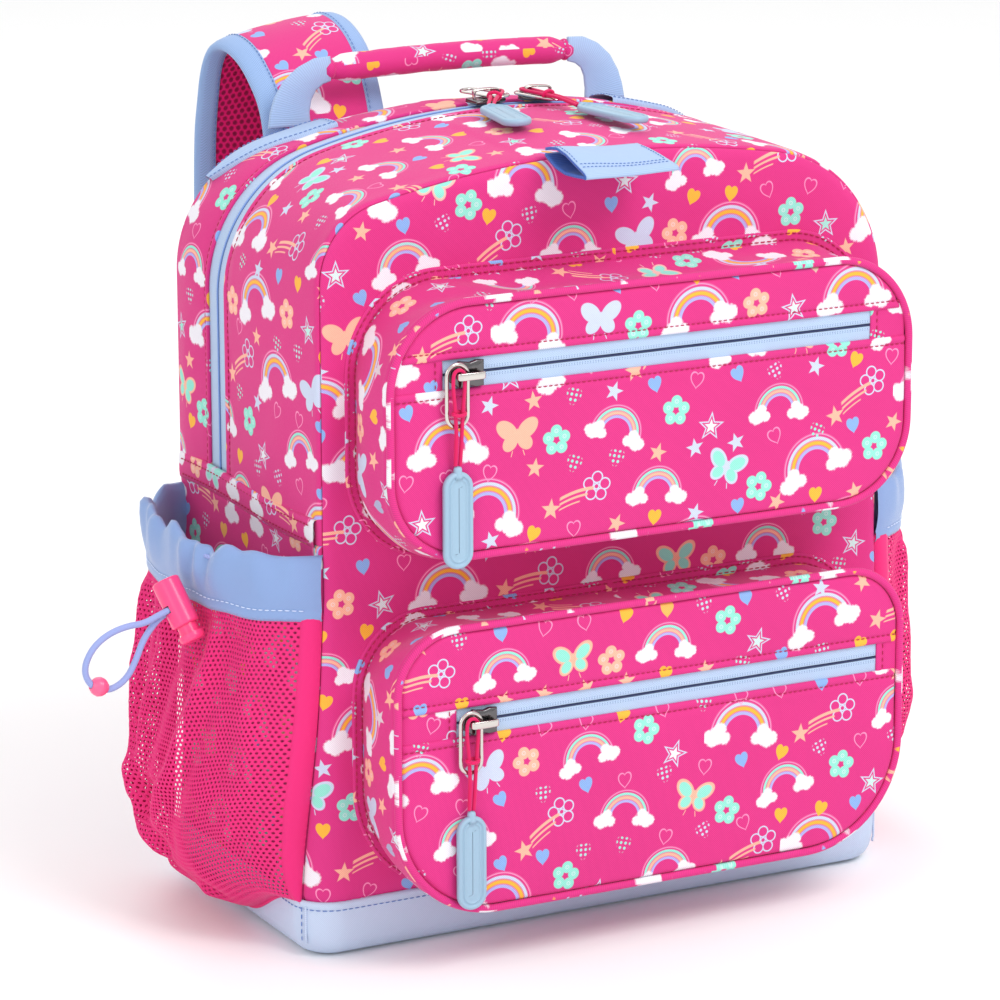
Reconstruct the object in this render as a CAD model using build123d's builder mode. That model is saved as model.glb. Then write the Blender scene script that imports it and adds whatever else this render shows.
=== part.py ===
from build123d import *
from math import atan2, cos, pi, radians, sin, sqrt, tan
import os

# School backpack. Frame: +Z up, +X to the right as seen from the front, the front pockets face -Y,
# the wearer's back is +Y. Origin: centre of the base's underside, on the floor. Millimetres.

# ---- driving dimensions -------------------------------------------------------------------------
FABRIC = 2.4            # padded shell fabric with its backing
THIN = 0.8              # lining fabric
GAP = 0.3               # clearance between pieces
FRONT_Y = -77.0         # front panel's outer face
ZIP_Y = 30.0            # plane of the main zip, the bag's highest and roundest section
BACK_Y = 77.0           # back panel's outer face
BASE_HALF_WIDTH = 150.0
BODY_HALF_WIDTH = 142.0
WAIST_Z = 165.0         # the sides lean in from the base up to here, then stand straight
BOOT_HEIGHT = 26.0      # contrast fabric band round the base
BOOT_CORNER = 18.0
SIDE_TOP_Z = 190.0      # seam between the side panels and the zipped arch above them
MAIN_TAPE_WIDTH = 12.0
COIL_WIDTH = 1.6
CROWN_RADIUS = 344.0    # main zip's crest, the arc that its sliders run on

# section: y, top z, corner radius, crown radius
FRONT_SECTION = (FRONT_Y, 352.5, 46.0, 500.0)
ZIP_SECTION = (ZIP_Y, 357.0, 55.0, CROWN_RADIUS)
BACK_SECTION = (BACK_Y, 352.0, 50.0, 400.0)
SECTIONS = (FRONT_SECTION, ZIP_SECTION, BACK_SECTION)

POCKET_DEPTH = 42.0
FACE_Y = FRONT_Y - POCKET_DEPTH
FACE_FABRIC = 2.0
PIPING = 3.0
POCKET_WALL = 2.0
POCKET_TAPE_HALF = 6.7  # visible half height of a pocket zip between its two folds
# seam: outline sewn to the front panel; face: outline of the flat front. (centre x, centre z, width,
# height, top corner radius, bottom corner radius); zip: (left end, right end, z)
POCKETS = {
    "upper": {
        "seam": (2.0, 244.0, 264.0, 128.0, 44.0, 42.0),
        "face": (0.5, 245.5, 262.0, 115.0, 40.0, 38.0),
        "zip": (-105.0, 110.5, 270.5),
        "slider_x": -94.0,
    },
    "lower": {
        "seam": (1.0, 91.0, 258.0, 132.0, 36.0, 54.0),
        "face": (1.0, 93.0, 258.0, 133.0, 30.0, 50.0),
        "zip": (-99.0, 117.0, 115.5),
        "slider_x": -88.0,
    },
}

# slider, in its own plane: x along the zip, y across it, z out of the fabric
SLIDER_LENGTH = 17.0
SLIDER_WIDTH = 12.0
PLATE_BOTTOM = 0.4
PLATE_TOP = 2.6
BRIDGE_BOTTOM = 6.0
BRIDGE_TOP = 7.4
BRIDGE_WIDTH = 3.0
POST_RADIUS = 1.2
POST_X = -5.0           # the pull hooks round this post
FAR_POST_X = 6.5
RING_BOTTOM = 2.75
RING_WIRE = 2.0         # seen from the front
RING_THICKNESS = 1.4
RING_CENTRELINE = 5.0   # radius of the ring's round ends
RING_STRAIGHT = 17.0
PULL_CORD_RADIUS = 0.85
PULL_CORD_HEIGHT = 5.1  # the cord lies on the ring, under the bridge
TAB_WIDTH = 14.0
TAB_LENGTH = 43.0
TAB_THICKNESS = 3.4
TAB_RIM = 0.4
NECK_WIDTH = 4.4
KNUCKLE_RADIUS = 1.9
KNUCKLE_HALF_LENGTH = 2.4

BOTTLE_FRONT_Y = -71.0
BOTTLE_BACK_Y = 71.0
HEM_BOTTOM_Z = 158.3
HEM_TOP_Z = 186.0
HEM_BULGE = 39.0
HEM_THICKNESS = 5.0
# side pocket's bulge past the side panel: (z, bulge)
BOTTLE_SECTIONS = ((9.0, 18.0), (30.0, 36.0), (70.0, 47.0), (122.0, 41.0), (158.0, 37.5))
MESH = 1.2

HANDLE_Y = 79.5
HANDLE_ROOT_Z = 346.0
HANDLE_GRIP_Z = 370.5
GRIP_LENGTH = 126.0
GRIP_RADIUS = 6.5
HANDLE_ROOT_X = 80.0
WEBBING = 1.6
HANDLE_WEBBING_WIDTH = 20.0

STRAP_WIDTH = 62.0
STRAP_THICKNESS = 9.0
STRAP_X = 61.0
STRAP_ROOT = (81.5, 338.0)
STRAP_LEAN = 8.0        # degrees that each strap leans out towards the base's corner
STRAP_WEBBING_WIDTH = 25.0

PULL_CORD_LEAST = 0.9   # tightest fold allowed in a zip pull's cord, in diameters
DRAWCORD_RADIUS = 1.45
HEM_CORD_RADIUS = 1.2   # the same cord stretched thin inside the hem

FOAM = 6.0              # stiff back padding behind the back panel
LINING_FLOOR = 5.2
LINING_SLIT = 8.0
BOARD = 2.0             # stiffening board in the base
BOARD_MARGIN = 34.0     # how much smaller the board is than the base, both edges together

HANG_X = -10.0
HANG_WIDTH = 46.0
HANG_ROOT = (FRONT_Y - 1.5, 353.5)
HANG_LENGTH = 36.0
HANG_THICKNESS = 10.0   # both layers and the space between them
HANG_DROOP = 0.14       # fall for each millimetre outwards

# cord lock on the left pocket, measured along its own axis from where the cord crosses it
LOCK_CENTRE = (-187.5, -25.0, 156.5)
LOCK_RADIUS = 6.3
LOCK_BORE = 4.7
LOCK_TOP = -13.0
LOCK_MOUTH = 9.0
LOCK_EDGE = 1.2
PLUNGER_RADIUS = 4.4
PLUNGER_TRAVEL = 4.0
PLUNGER_HEAD = 3.6
STRAND_OFFSET = 1.55    # each of the two strands lies this far from the lock's middle
STRAND_START = -1.5     # the strands start and end inside the lock, across its middle
STRAND_MOUTH = 7.5
BEAD_CENTRE = (-225.5, -25.1, 125.3)
BEAD_RADIUS = 4.3

# centre line of each pad from its root, as (y, z) beside the back panel
PAD_LEFT = [(82.5, 337.0), (101.0, 362.0), (127.0, 376.5), (154.0, 379.5), (165.0, 368.0),
            (164.0, 344.0), (154.0, 300.0), (138.0, 245.0), (122.0, 192.0), (110.0, 152.0)]
PAD_RIGHT = [(82.5, 318.0), (98.0, 327.0), (114.0, 322.0), (124.0, 302.0), (127.0, 266.0),
             (124.0, 220.0), (118.0, 170.0), (110.0, 122.0), (106.0, 92.0)]
LOCK_FRAME = (34.0, 26.0, 3.6)      # ladder lock's width, height and thickness
WING_TAB = (22.0, 14.0, 8.0, 28.0, 4.0)     # half widths at foot and head, foot z, head z, thickness
YOKE = (216.0, 26.0, 1.2, 305.0)    # width, height, thickness, centre z

os.makedirs("parts", exist_ok=True)


def save(part, name):
    part.label = name
    export_step(part, f"parts/{name}.step")


def arch_face(section, inset=0.0):
    """The bag's outline across its depth: flared sides, two round shoulders and a long crown arc."""
    y, top, corner, crown = section
    centre_z = top - crown
    shoulder_x = BODY_HALF_WIDTH - corner
    shoulder_z = centre_z + sqrt((crown - corner) ** 2 - shoulder_x**2)
    meet = atan2(shoulder_z - centre_z, shoulder_x)
    half = BODY_HALF_WIDTH - inset
    base = BASE_HALF_WIDTH - inset
    corner_in = corner - inset
    crown_in = crown - inset
    end = (crown_in * cos(meet), centre_z + crown_in * sin(meet))
    bisect = meet / 2
    middle = (shoulder_x + corner_in * cos(bisect), shoulder_z + corner_in * sin(bisect))
    with BuildSketch(Plane.XZ.offset(-y)) as outline:
        with BuildLine():
            Polyline((half, shoulder_z), (half, WAIST_Z), (base, 0), (-base, 0), (-half, WAIST_Z),
                     (-half, shoulder_z))
            ThreePointArc((-half, shoulder_z), (-middle[0], middle[1]), (-end[0], end[1]))
            ThreePointArc((-end[0], end[1]), (0, top - inset), end)
            ThreePointArc(end, middle, (half, shoulder_z))
        make_face()
    return outline.sketch


def pocket_face(y, shape, inset=0.0):
    """A pocket's rounded outline at one depth."""
    centre_x, centre_z, width, height, top_radius, bottom_radius = shape
    with BuildSketch(Plane.XZ.offset(-y)) as outline:
        with Locations((centre_x, centre_z)):
            Rectangle(width - 2 * inset, height - 2 * inset)
        fillet(outline.vertices().group_by(Axis.Y)[-1], top_radius - inset)
        fillet(outline.vertices().group_by(Axis.Y)[0], bottom_radius - inset)
    return outline.sketch


def bottle_face(z, side, bulge, inset=0.0, back_x=BODY_HALF_WIDTH - 6.0):
    """A side pocket's plan outline at height z: a flat back and one bulging arc."""
    with BuildSketch(Plane.XY.offset(z)) as outline:
        with BuildLine():
            low = (side * back_x, BOTTLE_FRONT_Y + inset)
            high = (side * back_x, BOTTLE_BACK_Y - inset)
            shoulder = side * (BODY_HALF_WIDTH + 1.0 + bulge / 3)
            low_shoulder = (shoulder, BOTTLE_FRONT_Y + inset)
            high_shoulder = (shoulder, BOTTLE_BACK_Y - inset)
            Line(low, low_shoulder)
            ThreePointArc(low_shoulder, (side * (BODY_HALF_WIDTH + bulge - inset), 0), high_shoulder)
            Line(high_shoulder, high)
            Line(high, low)
        make_face()
    return outline.sketch


def corner_radii(points, name, least):
    """Largest arc that fits each corner of a cord's route: 0.45 of the shorter run over tan(half turn)."""
    nodes = [Vector(*point) for point in points]
    runs = [after - before for before, after in zip(nodes, nodes[1:])]
    radii = []
    for before, after in zip(runs, runs[1:]):
        turn = radians(before.get_angle(after))
        radii.append(0.45 * min(before.length, after.length) / tan(turn / 2))
    print(name, "tightest radius", round(min(radii), 2), "least allowed", round(least, 2))
    return radii


def slider_plane(origin, along, outward):
    return Plane(origin=origin, x_dir=along, z_dir=outward)


# ---- bag shell ----------------------------------------------------------------------------------

with BuildPart() as front_panel:
    extrude(arch_face(FRONT_SECTION), amount=-FABRIC)
    with Locations((0, FRONT_Y + FABRIC / 2, BOOT_HEIGHT + GAP + 250)):
        Box(400, 10, 500, mode=Mode.INTERSECT)
save(front_panel.part, "front_panel")

with BuildPart() as back_panel:
    extrude(arch_face(BACK_SECTION), amount=FABRIC)
    with Locations((0, BACK_Y - FABRIC / 2, BOOT_HEIGHT + GAP + 250)):
        Box(400, 10, 500, mode=Mode.INTERSECT)
save(back_panel.part, "back_panel")


def wall_loft(sections, outer, inner):
    loft([arch_face(section, outer) for section in sections], ruled=True)
    loft([arch_face(section, inner) for section in sections], ruled=True, mode=Mode.SUBTRACT)


def keep_box(x_low, x_high, y_low, y_high, z_low, z_high):
    with Locations(((x_low + x_high) / 2, (y_low + y_high) / 2, (z_low + z_high) / 2)):
        Box(x_high - x_low, y_high - y_low, z_high - z_low, mode=Mode.INTERSECT)


gusset_start = FRONT_Y + FABRIC + GAP
gusset_end = BACK_Y - FABRIC - GAP
tape_front = ZIP_Y - MAIN_TAPE_WIDTH
tape_back = ZIP_Y + MAIN_TAPE_WIDTH

with BuildPart() as gusset_front:
    wall_loft((FRONT_SECTION, ZIP_SECTION), 0, FABRIC)
    keep_box(-200, 200, gusset_start, tape_front - GAP, SIDE_TOP_Z + GAP, 400)
save(gusset_front.part, "gusset_front")

with BuildPart() as gusset_rear:
    wall_loft((ZIP_SECTION, BACK_SECTION), 0, FABRIC)
    keep_box(-200, 200, tape_back + GAP, gusset_end, SIDE_TOP_Z + GAP, 400)
save(gusset_rear.part, "gusset_rear")

for side, name in ((-1, "side_panel_left"), (1, "side_panel_right")):
    with BuildPart() as side_panel:
        wall_loft((FRONT_SECTION, BACK_SECTION), 0, FABRIC)
        keep_box(min(0, side * 200), max(0, side * 200), gusset_start, gusset_end,
                 BOOT_HEIGHT + GAP, SIDE_TOP_Z)
    save(side_panel.part, name)

# two tapes and the closed coil between them, round the arch above the side seams
with BuildPart() as main_zip_chain:
    wall_loft(SECTIONS, 0.8, FABRIC - 0.6)
    keep_box(-200, 200, tape_front, tape_back, SIDE_TOP_Z + GAP, 400)
    with Locations((0, ZIP_Y, 250)):
        Box(400, COIL_WIDTH + GAP, 400, mode=Mode.SUBTRACT)
with BuildPart() as main_coil:
    extrude(arch_face(ZIP_SECTION), amount=COIL_WIDTH / 2, both=True)
    extrude(arch_face(ZIP_SECTION, FABRIC - 0.6), amount=COIL_WIDTH, both=True, mode=Mode.SUBTRACT)
    keep_box(-200, 200, ZIP_Y - 5, ZIP_Y + 5, SIDE_TOP_Z + GAP, 400)
main_chain = Compound(children=[*main_zip_chain.part.solids(), *main_coil.part.solids()])
save(main_chain, "main_zip_chain")

# foam sheet behind the back panel, inside the bag
foam_inset = FABRIC + GAP
with BuildPart() as back_foam:
    foam_y = gusset_end
    foam_section = (foam_y, *BACK_SECTION[1:])
    extrude(arch_face(foam_section, foam_inset + 2.0), amount=FOAM)
    keep_box(-200, 200, foam_y - FOAM, foam_y, BOOT_HEIGHT + GAP, 400)
save(back_foam.part, "back_foam")

# lining bag: open along the zip, closed everywhere else, its foot standing inside the boot
lining_front_y = gusset_start + 0.2
lining_back_y = gusset_end - FOAM - GAP


def lining_solid(inset, front_y, back_y, floor_z, step_z, foot_margin):
    """The lining's outer or inner form: the bag's loft above the boot and a rounded foot in it."""
    sections = [(front_y, *FRONT_SECTION[1:]), ZIP_SECTION, (back_y, *BACK_SECTION[1:])]
    with BuildPart() as form:
        with Locations((0, 0, step_z + 200)):
            Box(400, 300, 400)
        with BuildSketch(Plane.XY.offset(floor_z)):
            with Locations((0, (front_y + back_y) / 2)):
                RectangleRounded(2 * (BASE_HALF_WIDTH - foot_margin), back_y - front_y - foot_margin / 2,
                                 BOOT_CORNER - 3)
        extrude(amount=step_z - floor_z)
        add(loft([arch_face(section, inset) for section in sections], ruled=True, mode=Mode.PRIVATE),
            mode=Mode.INTERSECT)
    return form.part


with BuildPart() as lining:
    add(lining_solid(FABRIC + GAP, lining_front_y, lining_back_y, LINING_FLOOR, BOOT_HEIGHT + GAP, 5.5))
    add(lining_solid(FABRIC + GAP + THIN, lining_front_y + THIN, lining_back_y - THIN,
                     LINING_FLOOR + THIN, BOOT_HEIGHT + GAP + THIN, 6.3), mode=Mode.SUBTRACT)
    with Locations((0, ZIP_Y, SIDE_TOP_Z + 100)):
        Box(400, LINING_SLIT, 200, mode=Mode.SUBTRACT)
save(lining.part, "lining")

# boot: a tray with a soft lower edge
with BuildPart() as base_boot:
    with BuildSketch():
        RectangleRounded(2 * BASE_HALF_WIDTH, BACK_Y - FRONT_Y, BOOT_CORNER)
    extrude(amount=BOOT_HEIGHT, taper=3)
    fillet(base_boot.edges().group_by(Axis.Z)[0], 9)
    offset(amount=-FABRIC, openings=base_boot.faces().sort_by(Axis.Z)[-1])
save(base_boot.part, "base_boot")

with BuildPart() as base_board:
    with BuildSketch(Plane.XY.offset(FABRIC + GAP)):
        RectangleRounded(2 * BASE_HALF_WIDTH - BOARD_MARGIN, BACK_Y - FRONT_Y - BOARD_MARGIN, 10)
    extrude(amount=BOARD)
save(base_board.part, "base_board")

# ---- front pockets ------------------------------------------------------------------------------
for name, pocket in POCKETS.items():
    seam = pocket["seam"]
    face = pocket["face"]
    zip_left, zip_right, zip_z = pocket["zip"]
    seam_y = FRONT_Y - GAP
    gusset_front_y = FACE_Y + PIPING / 2 + 0.5
    with BuildPart() as pocket_gusset:
        loft([pocket_face(seam_y, seam), pocket_face(gusset_front_y, face)], ruled=True)
        loft([pocket_face(seam_y, seam, POCKET_WALL), pocket_face(gusset_front_y, face, POCKET_WALL)],
             ruled=True, mode=Mode.SUBTRACT)
    save(pocket_gusset.part, f"{name}_pocket_gusset")

    with BuildPart() as piping:
        piping_y = gusset_front_y - GAP
        extrude(pocket_face(piping_y, face), amount=PIPING)
        extrude(pocket_face(piping_y, face, PIPING), amount=PIPING, mode=Mode.SUBTRACT)
    save(piping.part, f"{name}_pocket_piping")

    plate_y = FACE_Y + FACE_FABRIC
    with BuildPart() as face_top:
        extrude(pocket_face(plate_y, face, PIPING + GAP), amount=FACE_FABRIC)
        keep_box(-200, 200, FACE_Y - 5, FACE_Y + 5, zip_z + POCKET_TAPE_HALF + GAP, 400)
    save(face_top.part, f"{name}_pocket_face_top")
    with BuildPart() as face_bottom:
        extrude(pocket_face(plate_y, face, PIPING + GAP), amount=FACE_FABRIC)
        keep_box(-200, 200, FACE_Y - 5, FACE_Y + 5, 0, zip_z - POCKET_TAPE_HALF - GAP)
    save(face_bottom.part, f"{name}_pocket_face_bottom")
    with BuildPart() as zip_ends:
        extrude(pocket_face(plate_y, face, PIPING + GAP), amount=FACE_FABRIC)
        keep_box(-200, 200, FACE_Y - 5, FACE_Y + 5, zip_z - POCKET_TAPE_HALF,
                 zip_z + POCKET_TAPE_HALF)
        with Locations(((zip_left + zip_right) / 2, FACE_Y, zip_z)):
            Box(zip_right - zip_left + 2 * GAP, 20, 40, mode=Mode.SUBTRACT)
    save(zip_ends.part, f"{name}_pocket_zip_ends")

    # upper tape, lower tape and the coil between them
    tape_height = POCKET_TAPE_HALF - COIL_WIDTH / 2 - GAP / 2
    zip_centre_x = (zip_left + zip_right) / 2
    zip_length = zip_right - zip_left
    with BuildPart() as zip_chain:
        tape_offset = POCKET_TAPE_HALF - tape_height / 2
        with Locations((zip_centre_x, FACE_Y + 1.0, zip_z + tape_offset),
                       (zip_centre_x, FACE_Y + 1.0, zip_z - tape_offset)):
            Box(zip_length, 1.0, tape_height)
        with Locations((zip_centre_x, FACE_Y + 0.6, zip_z)):
            Box(zip_length, 1.2, COIL_WIDTH)
    save(zip_chain.part, f"{name}_pocket_zip_chain")


# ---- zip sliders and pulls ----------------------------------------------------------------------
def make_slider(plane, name):
    """Plate with a crown: two posts and a bridge over the gap that the pull hooks through."""
    with BuildPart(plane) as slider:
        with BuildSketch(plane.offset(PLATE_BOTTOM)):
            with BuildLine():
                Polyline((SLIDER_LENGTH / 2, -SLIDER_WIDTH / 2), (SLIDER_LENGTH / 2, SLIDER_WIDTH / 2),
                         (1.5, SLIDER_WIDTH / 2 - 1.0), (-3.0, SLIDER_WIDTH / 2),
                         (-SLIDER_LENGTH / 2, 2.0), (-SLIDER_LENGTH / 2, -2.0),
                         (-3.0, -SLIDER_WIDTH / 2), (1.5, -SLIDER_WIDTH / 2 + 1.0), close=True)
            make_face()
        extrude(amount=PLATE_TOP - PLATE_BOTTOM)
        with BuildSketch(plane.offset(PLATE_TOP)):
            with Locations((POST_X, 0), (FAR_POST_X, 0)):
                Circle(POST_RADIUS)
        extrude(amount=BRIDGE_BOTTOM - PLATE_TOP)
        with BuildSketch(plane.offset(BRIDGE_BOTTOM)):
            with Locations(((POST_X + FAR_POST_X) / 2, 0)):
                SlotCenterToCenter(FAR_POST_X - POST_X, BRIDGE_WIDTH)
        extrude(amount=BRIDGE_TOP - BRIDGE_BOTTOM)
    save(slider.part, f"{name}_slider")


def make_ring(plane, name):
    """Long oval ring in the pull's plane: origin on the post's axis, hanging along -y."""
    with BuildPart(plane) as ring:
        with BuildSketch(plane.offset(RING_BOTTOM)):
            for radius, mode in ((RING_CENTRELINE + RING_WIRE / 2, Mode.ADD),
                                 (RING_CENTRELINE - RING_WIRE / 2, Mode.SUBTRACT)):
                with Locations((0, -RING_STRAIGHT / 2)):
                    SlotCenterToCenter(RING_STRAIGHT, 2 * radius, rotation=90, mode=mode)
        extrude(amount=RING_THICKNESS)
        fillet(ring.edges().filter_by(GeomType.CIRCLE), 0.4)
    save(ring.part, f"{name}_pull_ring")


def make_cord(points, radius, name, least):
    """One cord through its route's points, straight runs joined by tangent arcs."""
    with BuildPart() as cord:
        with BuildLine() as route:
            FilletPolyline(*points, radius=corner_radii(points, name, least * 2 * radius))
        with BuildSketch(Plane(origin=route.line @ 0, z_dir=route.line % 0)):
            Circle(radius)
        sweep()
    length = route.wire().length
    share = cord.part.volume / (pi * radius**2 * length)
    print(name, "length", round(length, 1), "volume over section times length", round(share, 4))
    save(cord.part, name)


def make_tab(plane, name):
    """Rubber tab: origin on its hinge line at the top, hanging along -y, with a raised border."""
    top = TAB_THICKNESS / 2
    middle = (0, -TAB_LENGTH / 2 - 0.5)
    with BuildPart() as tab:
        with BuildSketch(plane.offset(-top)):
            with Locations(middle):
                SlotCenterToCenter(TAB_LENGTH - TAB_WIDTH, TAB_WIDTH, rotation=90)
            with Locations((0, -2.5)):
                Rectangle(NECK_WIDTH, 5.0)
        extrude(amount=TAB_THICKNESS - TAB_RIM)
        with BuildSketch(plane.offset(top - TAB_RIM)):
            with Locations(middle):
                SlotCenterToCenter(TAB_LENGTH - TAB_WIDTH, TAB_WIDTH, rotation=90)
                SlotCenterToCenter(TAB_LENGTH - TAB_WIDTH, TAB_WIDTH - 3.2, rotation=90,
                                   mode=Mode.SUBTRACT)
        extrude(amount=TAB_RIM)
        # knuckle that the cord enters, round about the hinge line
        knuckle_end = plane.from_local_coords((-KNUCKLE_HALF_LENGTH, 0, 0))
        with BuildSketch(Plane(origin=knuckle_end, x_dir=plane.y_dir, z_dir=plane.x_dir)):
            Circle(KNUCKLE_RADIUS)
        extrude(amount=2 * KNUCKLE_HALF_LENGTH)
    save(tab.part, f"{name}_pull_tab")


def pull_cord_route(reach, end_height, tab_turn):
    """One strand up, round the post and back: x across, -y along the pull, z out of the fabric."""
    corner = KNUCKLE_HALF_LENGTH * sin(radians(tab_turn))   # the turned knuckle reaches up this much
    half = [(1.1, -reach + KNUCKLE_RADIUS + GAP + corner, end_height + 0.1),
            (1.2, -0.8 * reach, 0.5 * end_height + 2.6),
            (1.3, -0.58 * reach, PULL_CORD_HEIGHT), (1.9, -0.32 * reach, PULL_CORD_HEIGHT + 0.02),
            (2.9, -0.1 * reach, PULL_CORD_HEIGHT), (2.4, 2.9, PULL_CORD_HEIGHT)]
    return half + [(-x, y, z) for x, y, z in reversed(half)]


def make_pull(slider, direction, ring_direction, reach, end_height, tab_turn, name):
    """Slider's pull: ring and cord round the post, and the tab on the cord's end."""
    post = slider.shift_origin(slider.from_local_coords((POST_X, 0, 0)))
    ring_plane = Plane(origin=post.origin, x_dir=post.z_dir.cross(-Vector(ring_direction)) * -1,
                       z_dir=post.z_dir)
    make_ring(ring_plane, name)
    cord_plane = Plane(origin=post.origin, x_dir=post.z_dir.cross(-Vector(direction)) * -1,
                       z_dir=post.z_dir)
    route = [tuple(cord_plane.from_local_coords(point))
             for point in pull_cord_route(reach, end_height, tab_turn)]
    make_cord(route, PULL_CORD_RADIUS, f"{name}_pull_cord", PULL_CORD_LEAST)
    hinge = Plane(origin=cord_plane.from_local_coords((0, -reach, end_height)),
                  x_dir=cord_plane.x_dir, z_dir=cord_plane.z_dir)
    tab_plane = hinge.rotated((0, 0, tab_turn))
    make_tab(tab_plane, name)
    print(name, "post", tuple(round(v, 2) for v in post.origin), "normal",
          tuple(round(v, 4) for v in post.z_dir))
    print(name, "tab hinge", tuple(round(v, 2) for v in hinge.origin), "axis",
          tuple(round(v, 4) for v in tab_plane.x_dir))


for name, pocket in POCKETS.items():
    slider = slider_plane((pocket["slider_x"], FACE_Y, pocket["zip"][2]), (1, 0, 0), (0, -1, 0))
    make_slider(slider, name)
    make_pull(slider, (0, 0, -1), (0, 0, -1), 41.0, 3.6, 0, name)

# main zip: two sliders that meet near the crest and run down the crown's arc
crown_centre_z = ZIP_SECTION[1] - CROWN_RADIUS


def crest_plane(x, along):
    """Plane on the coil's crest above x, its x axis along the zip."""
    angle = x / CROWN_RADIUS
    origin = (CROWN_RADIUS * sin(angle), ZIP_Y, crown_centre_z + CROWN_RADIUS * cos(angle))
    return Plane(origin=origin, x_dir=(along * cos(angle), 0, -along * sin(angle)),
                 z_dir=(sin(angle), 0, cos(angle)))


main_left = crest_plane(-5.0, -1)
make_slider(main_left, "main_left")
make_pull(main_left, (-0.55, -0.835, 0), (-0.26, 0.966, 0), 31.0, 3.2, 24, "main_left")
main_right = crest_plane(20.0, 1)
make_slider(main_right, "main_right")
make_pull(main_right, (0.17, -0.985, 0), (0.34, -0.94, 0), 41.0, 3.2, 0, "main_right")

# ---- side pockets -------------------------------------------------------------------------------
side_slope = Vector(WAIST_Z, 0, BASE_HALF_WIDTH - BODY_HALF_WIDTH)
for side, name in ((-1, "left"), (1, "right")):
    clear_of_side = Plane(origin=(side * (BASE_HALF_WIDTH + GAP), 0, 0),
                          z_dir=(side * side_slope.X, 0, side_slope.Z))
    with BuildPart() as mesh_pocket:
        loft([bottle_face(z, side, bulge) for z, bulge in BOTTLE_SECTIONS], ruled=True)
        floor_z, floor_bulge = BOTTLE_SECTIONS[0]
        inner = [(floor_z + MESH, floor_bulge)] + list(BOTTLE_SECTIONS[1:])
        loft([bottle_face(z, side, bulge, MESH) for z, bulge in inner], ruled=True,
             mode=Mode.SUBTRACT)
        split(bisect_by=clear_of_side, keep=Keep.TOP)
    save(mesh_pocket.part, f"mesh_pocket_{name}")

    with BuildPart() as hem:
        extrude(bottle_face(HEM_BOTTOM_Z, side, HEM_BULGE), amount=HEM_TOP_Z - HEM_BOTTOM_Z)
        extrude(bottle_face(HEM_BOTTOM_Z, side, HEM_BULGE, HEM_THICKNESS),
                amount=HEM_TOP_Z - HEM_BOTTOM_Z, mode=Mode.SUBTRACT)
        split(bisect_by=Plane(origin=(side * (BODY_HALF_WIDTH + 0.7), 0, 0), z_dir=(side, 0, 0)),
              keep=Keep.TOP)
        # tunnel for the drawcord
        tunnel_z = HEM_TOP_Z - 10
        extrude(bottle_face(tunnel_z, side, HEM_BULGE, 0.5) - bottle_face(tunnel_z, side, HEM_BULGE, 4.5),
                amount=6, mode=Mode.SUBTRACT)
    save(hem.part, f"pocket_hem_{name}")

# elastic drawcord inside each hem
with BuildPart() as hem_cords:
    for side in (-1, 1):
        middle_inset = HEM_THICKNESS / 2
        shoulder = side * (BODY_HALF_WIDTH + 1.0 + HEM_BULGE / 3)
        with BuildLine() as hem_route:
            ThreePointArc((shoulder, BOTTLE_FRONT_Y + middle_inset, tunnel_z + 3),
                          (side * (BODY_HALF_WIDTH + HEM_BULGE - middle_inset), 0, tunnel_z + 3),
                          (shoulder, BOTTLE_BACK_Y - middle_inset, tunnel_z + 3))
        with BuildSketch(Plane(origin=hem_route.line @ 0, z_dir=hem_route.line % 0)):
            Circle(HEM_CORD_RADIUS)
        sweep()
save(hem_cords.part, "hem_cords")

# ---- cord lock on the left pocket ---------------------------------------------------------------
LOCK_AXIS = Vector(6.0, -12.0, -21.0).normalized()
lock_out = Vector(-1, 0, 0) + LOCK_AXIS * LOCK_AXIS.X
lock = Plane(origin=LOCK_CENTRE, x_dir=lock_out, z_dir=LOCK_AXIS)

with BuildPart() as cord_lock_barrel:
    with BuildSketch(lock.offset(LOCK_TOP)):
        Circle(LOCK_RADIUS)
    extrude(amount=LOCK_MOUTH - LOCK_TOP)
    fillet(cord_lock_barrel.edges().filter_by(GeomType.CIRCLE), LOCK_EDGE)
    with BuildSketch(lock.offset(LOCK_TOP + 1.5)):
        Circle(LOCK_BORE)
    extrude(amount=LOCK_MOUTH - LOCK_TOP, mode=Mode.SUBTRACT)
    slot_height = 2 * DRAWCORD_RADIUS + 0.5
    with BuildSketch(lock.offset(-slot_height / 2)):
        Rectangle(30, 2 * (STRAND_OFFSET + DRAWCORD_RADIUS) + 0.5)
    extrude(amount=slot_height, mode=Mode.SUBTRACT)
save(cord_lock_barrel.part, "cord_lock_barrel")

plunger_top = -DRAWCORD_RADIUS - 1.75
head_bottom = LOCK_MOUTH + PLUNGER_TRAVEL + 0.2
with BuildPart() as cord_lock_plunger:
    with BuildSketch(lock.offset(plunger_top)):
        Circle(PLUNGER_RADIUS)
    extrude(amount=head_bottom - plunger_top)
    with BuildSketch(lock.offset(head_bottom)):
        Circle(LOCK_RADIUS - 0.6)
    extrude(amount=PLUNGER_HEAD)
    fillet(cord_lock_plunger.edges().filter_by(GeomType.CIRCLE)
           .sort_by(lambda edge: (edge.center() - Vector(*LOCK_CENTRE)).dot(LOCK_AXIS))[-1], 2.0)
    slot_low = -DRAWCORD_RADIUS - 0.15
    with BuildSketch(lock.offset(slot_low)):
        Rectangle(30, 2 * (STRAND_OFFSET + DRAWCORD_RADIUS) + 0.5)
    extrude(amount=2 * DRAWCORD_RADIUS + 0.3 + PLUNGER_TRAVEL, mode=Mode.SUBTRACT)
save(cord_lock_plunger.part, "cord_lock_plunger")

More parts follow.
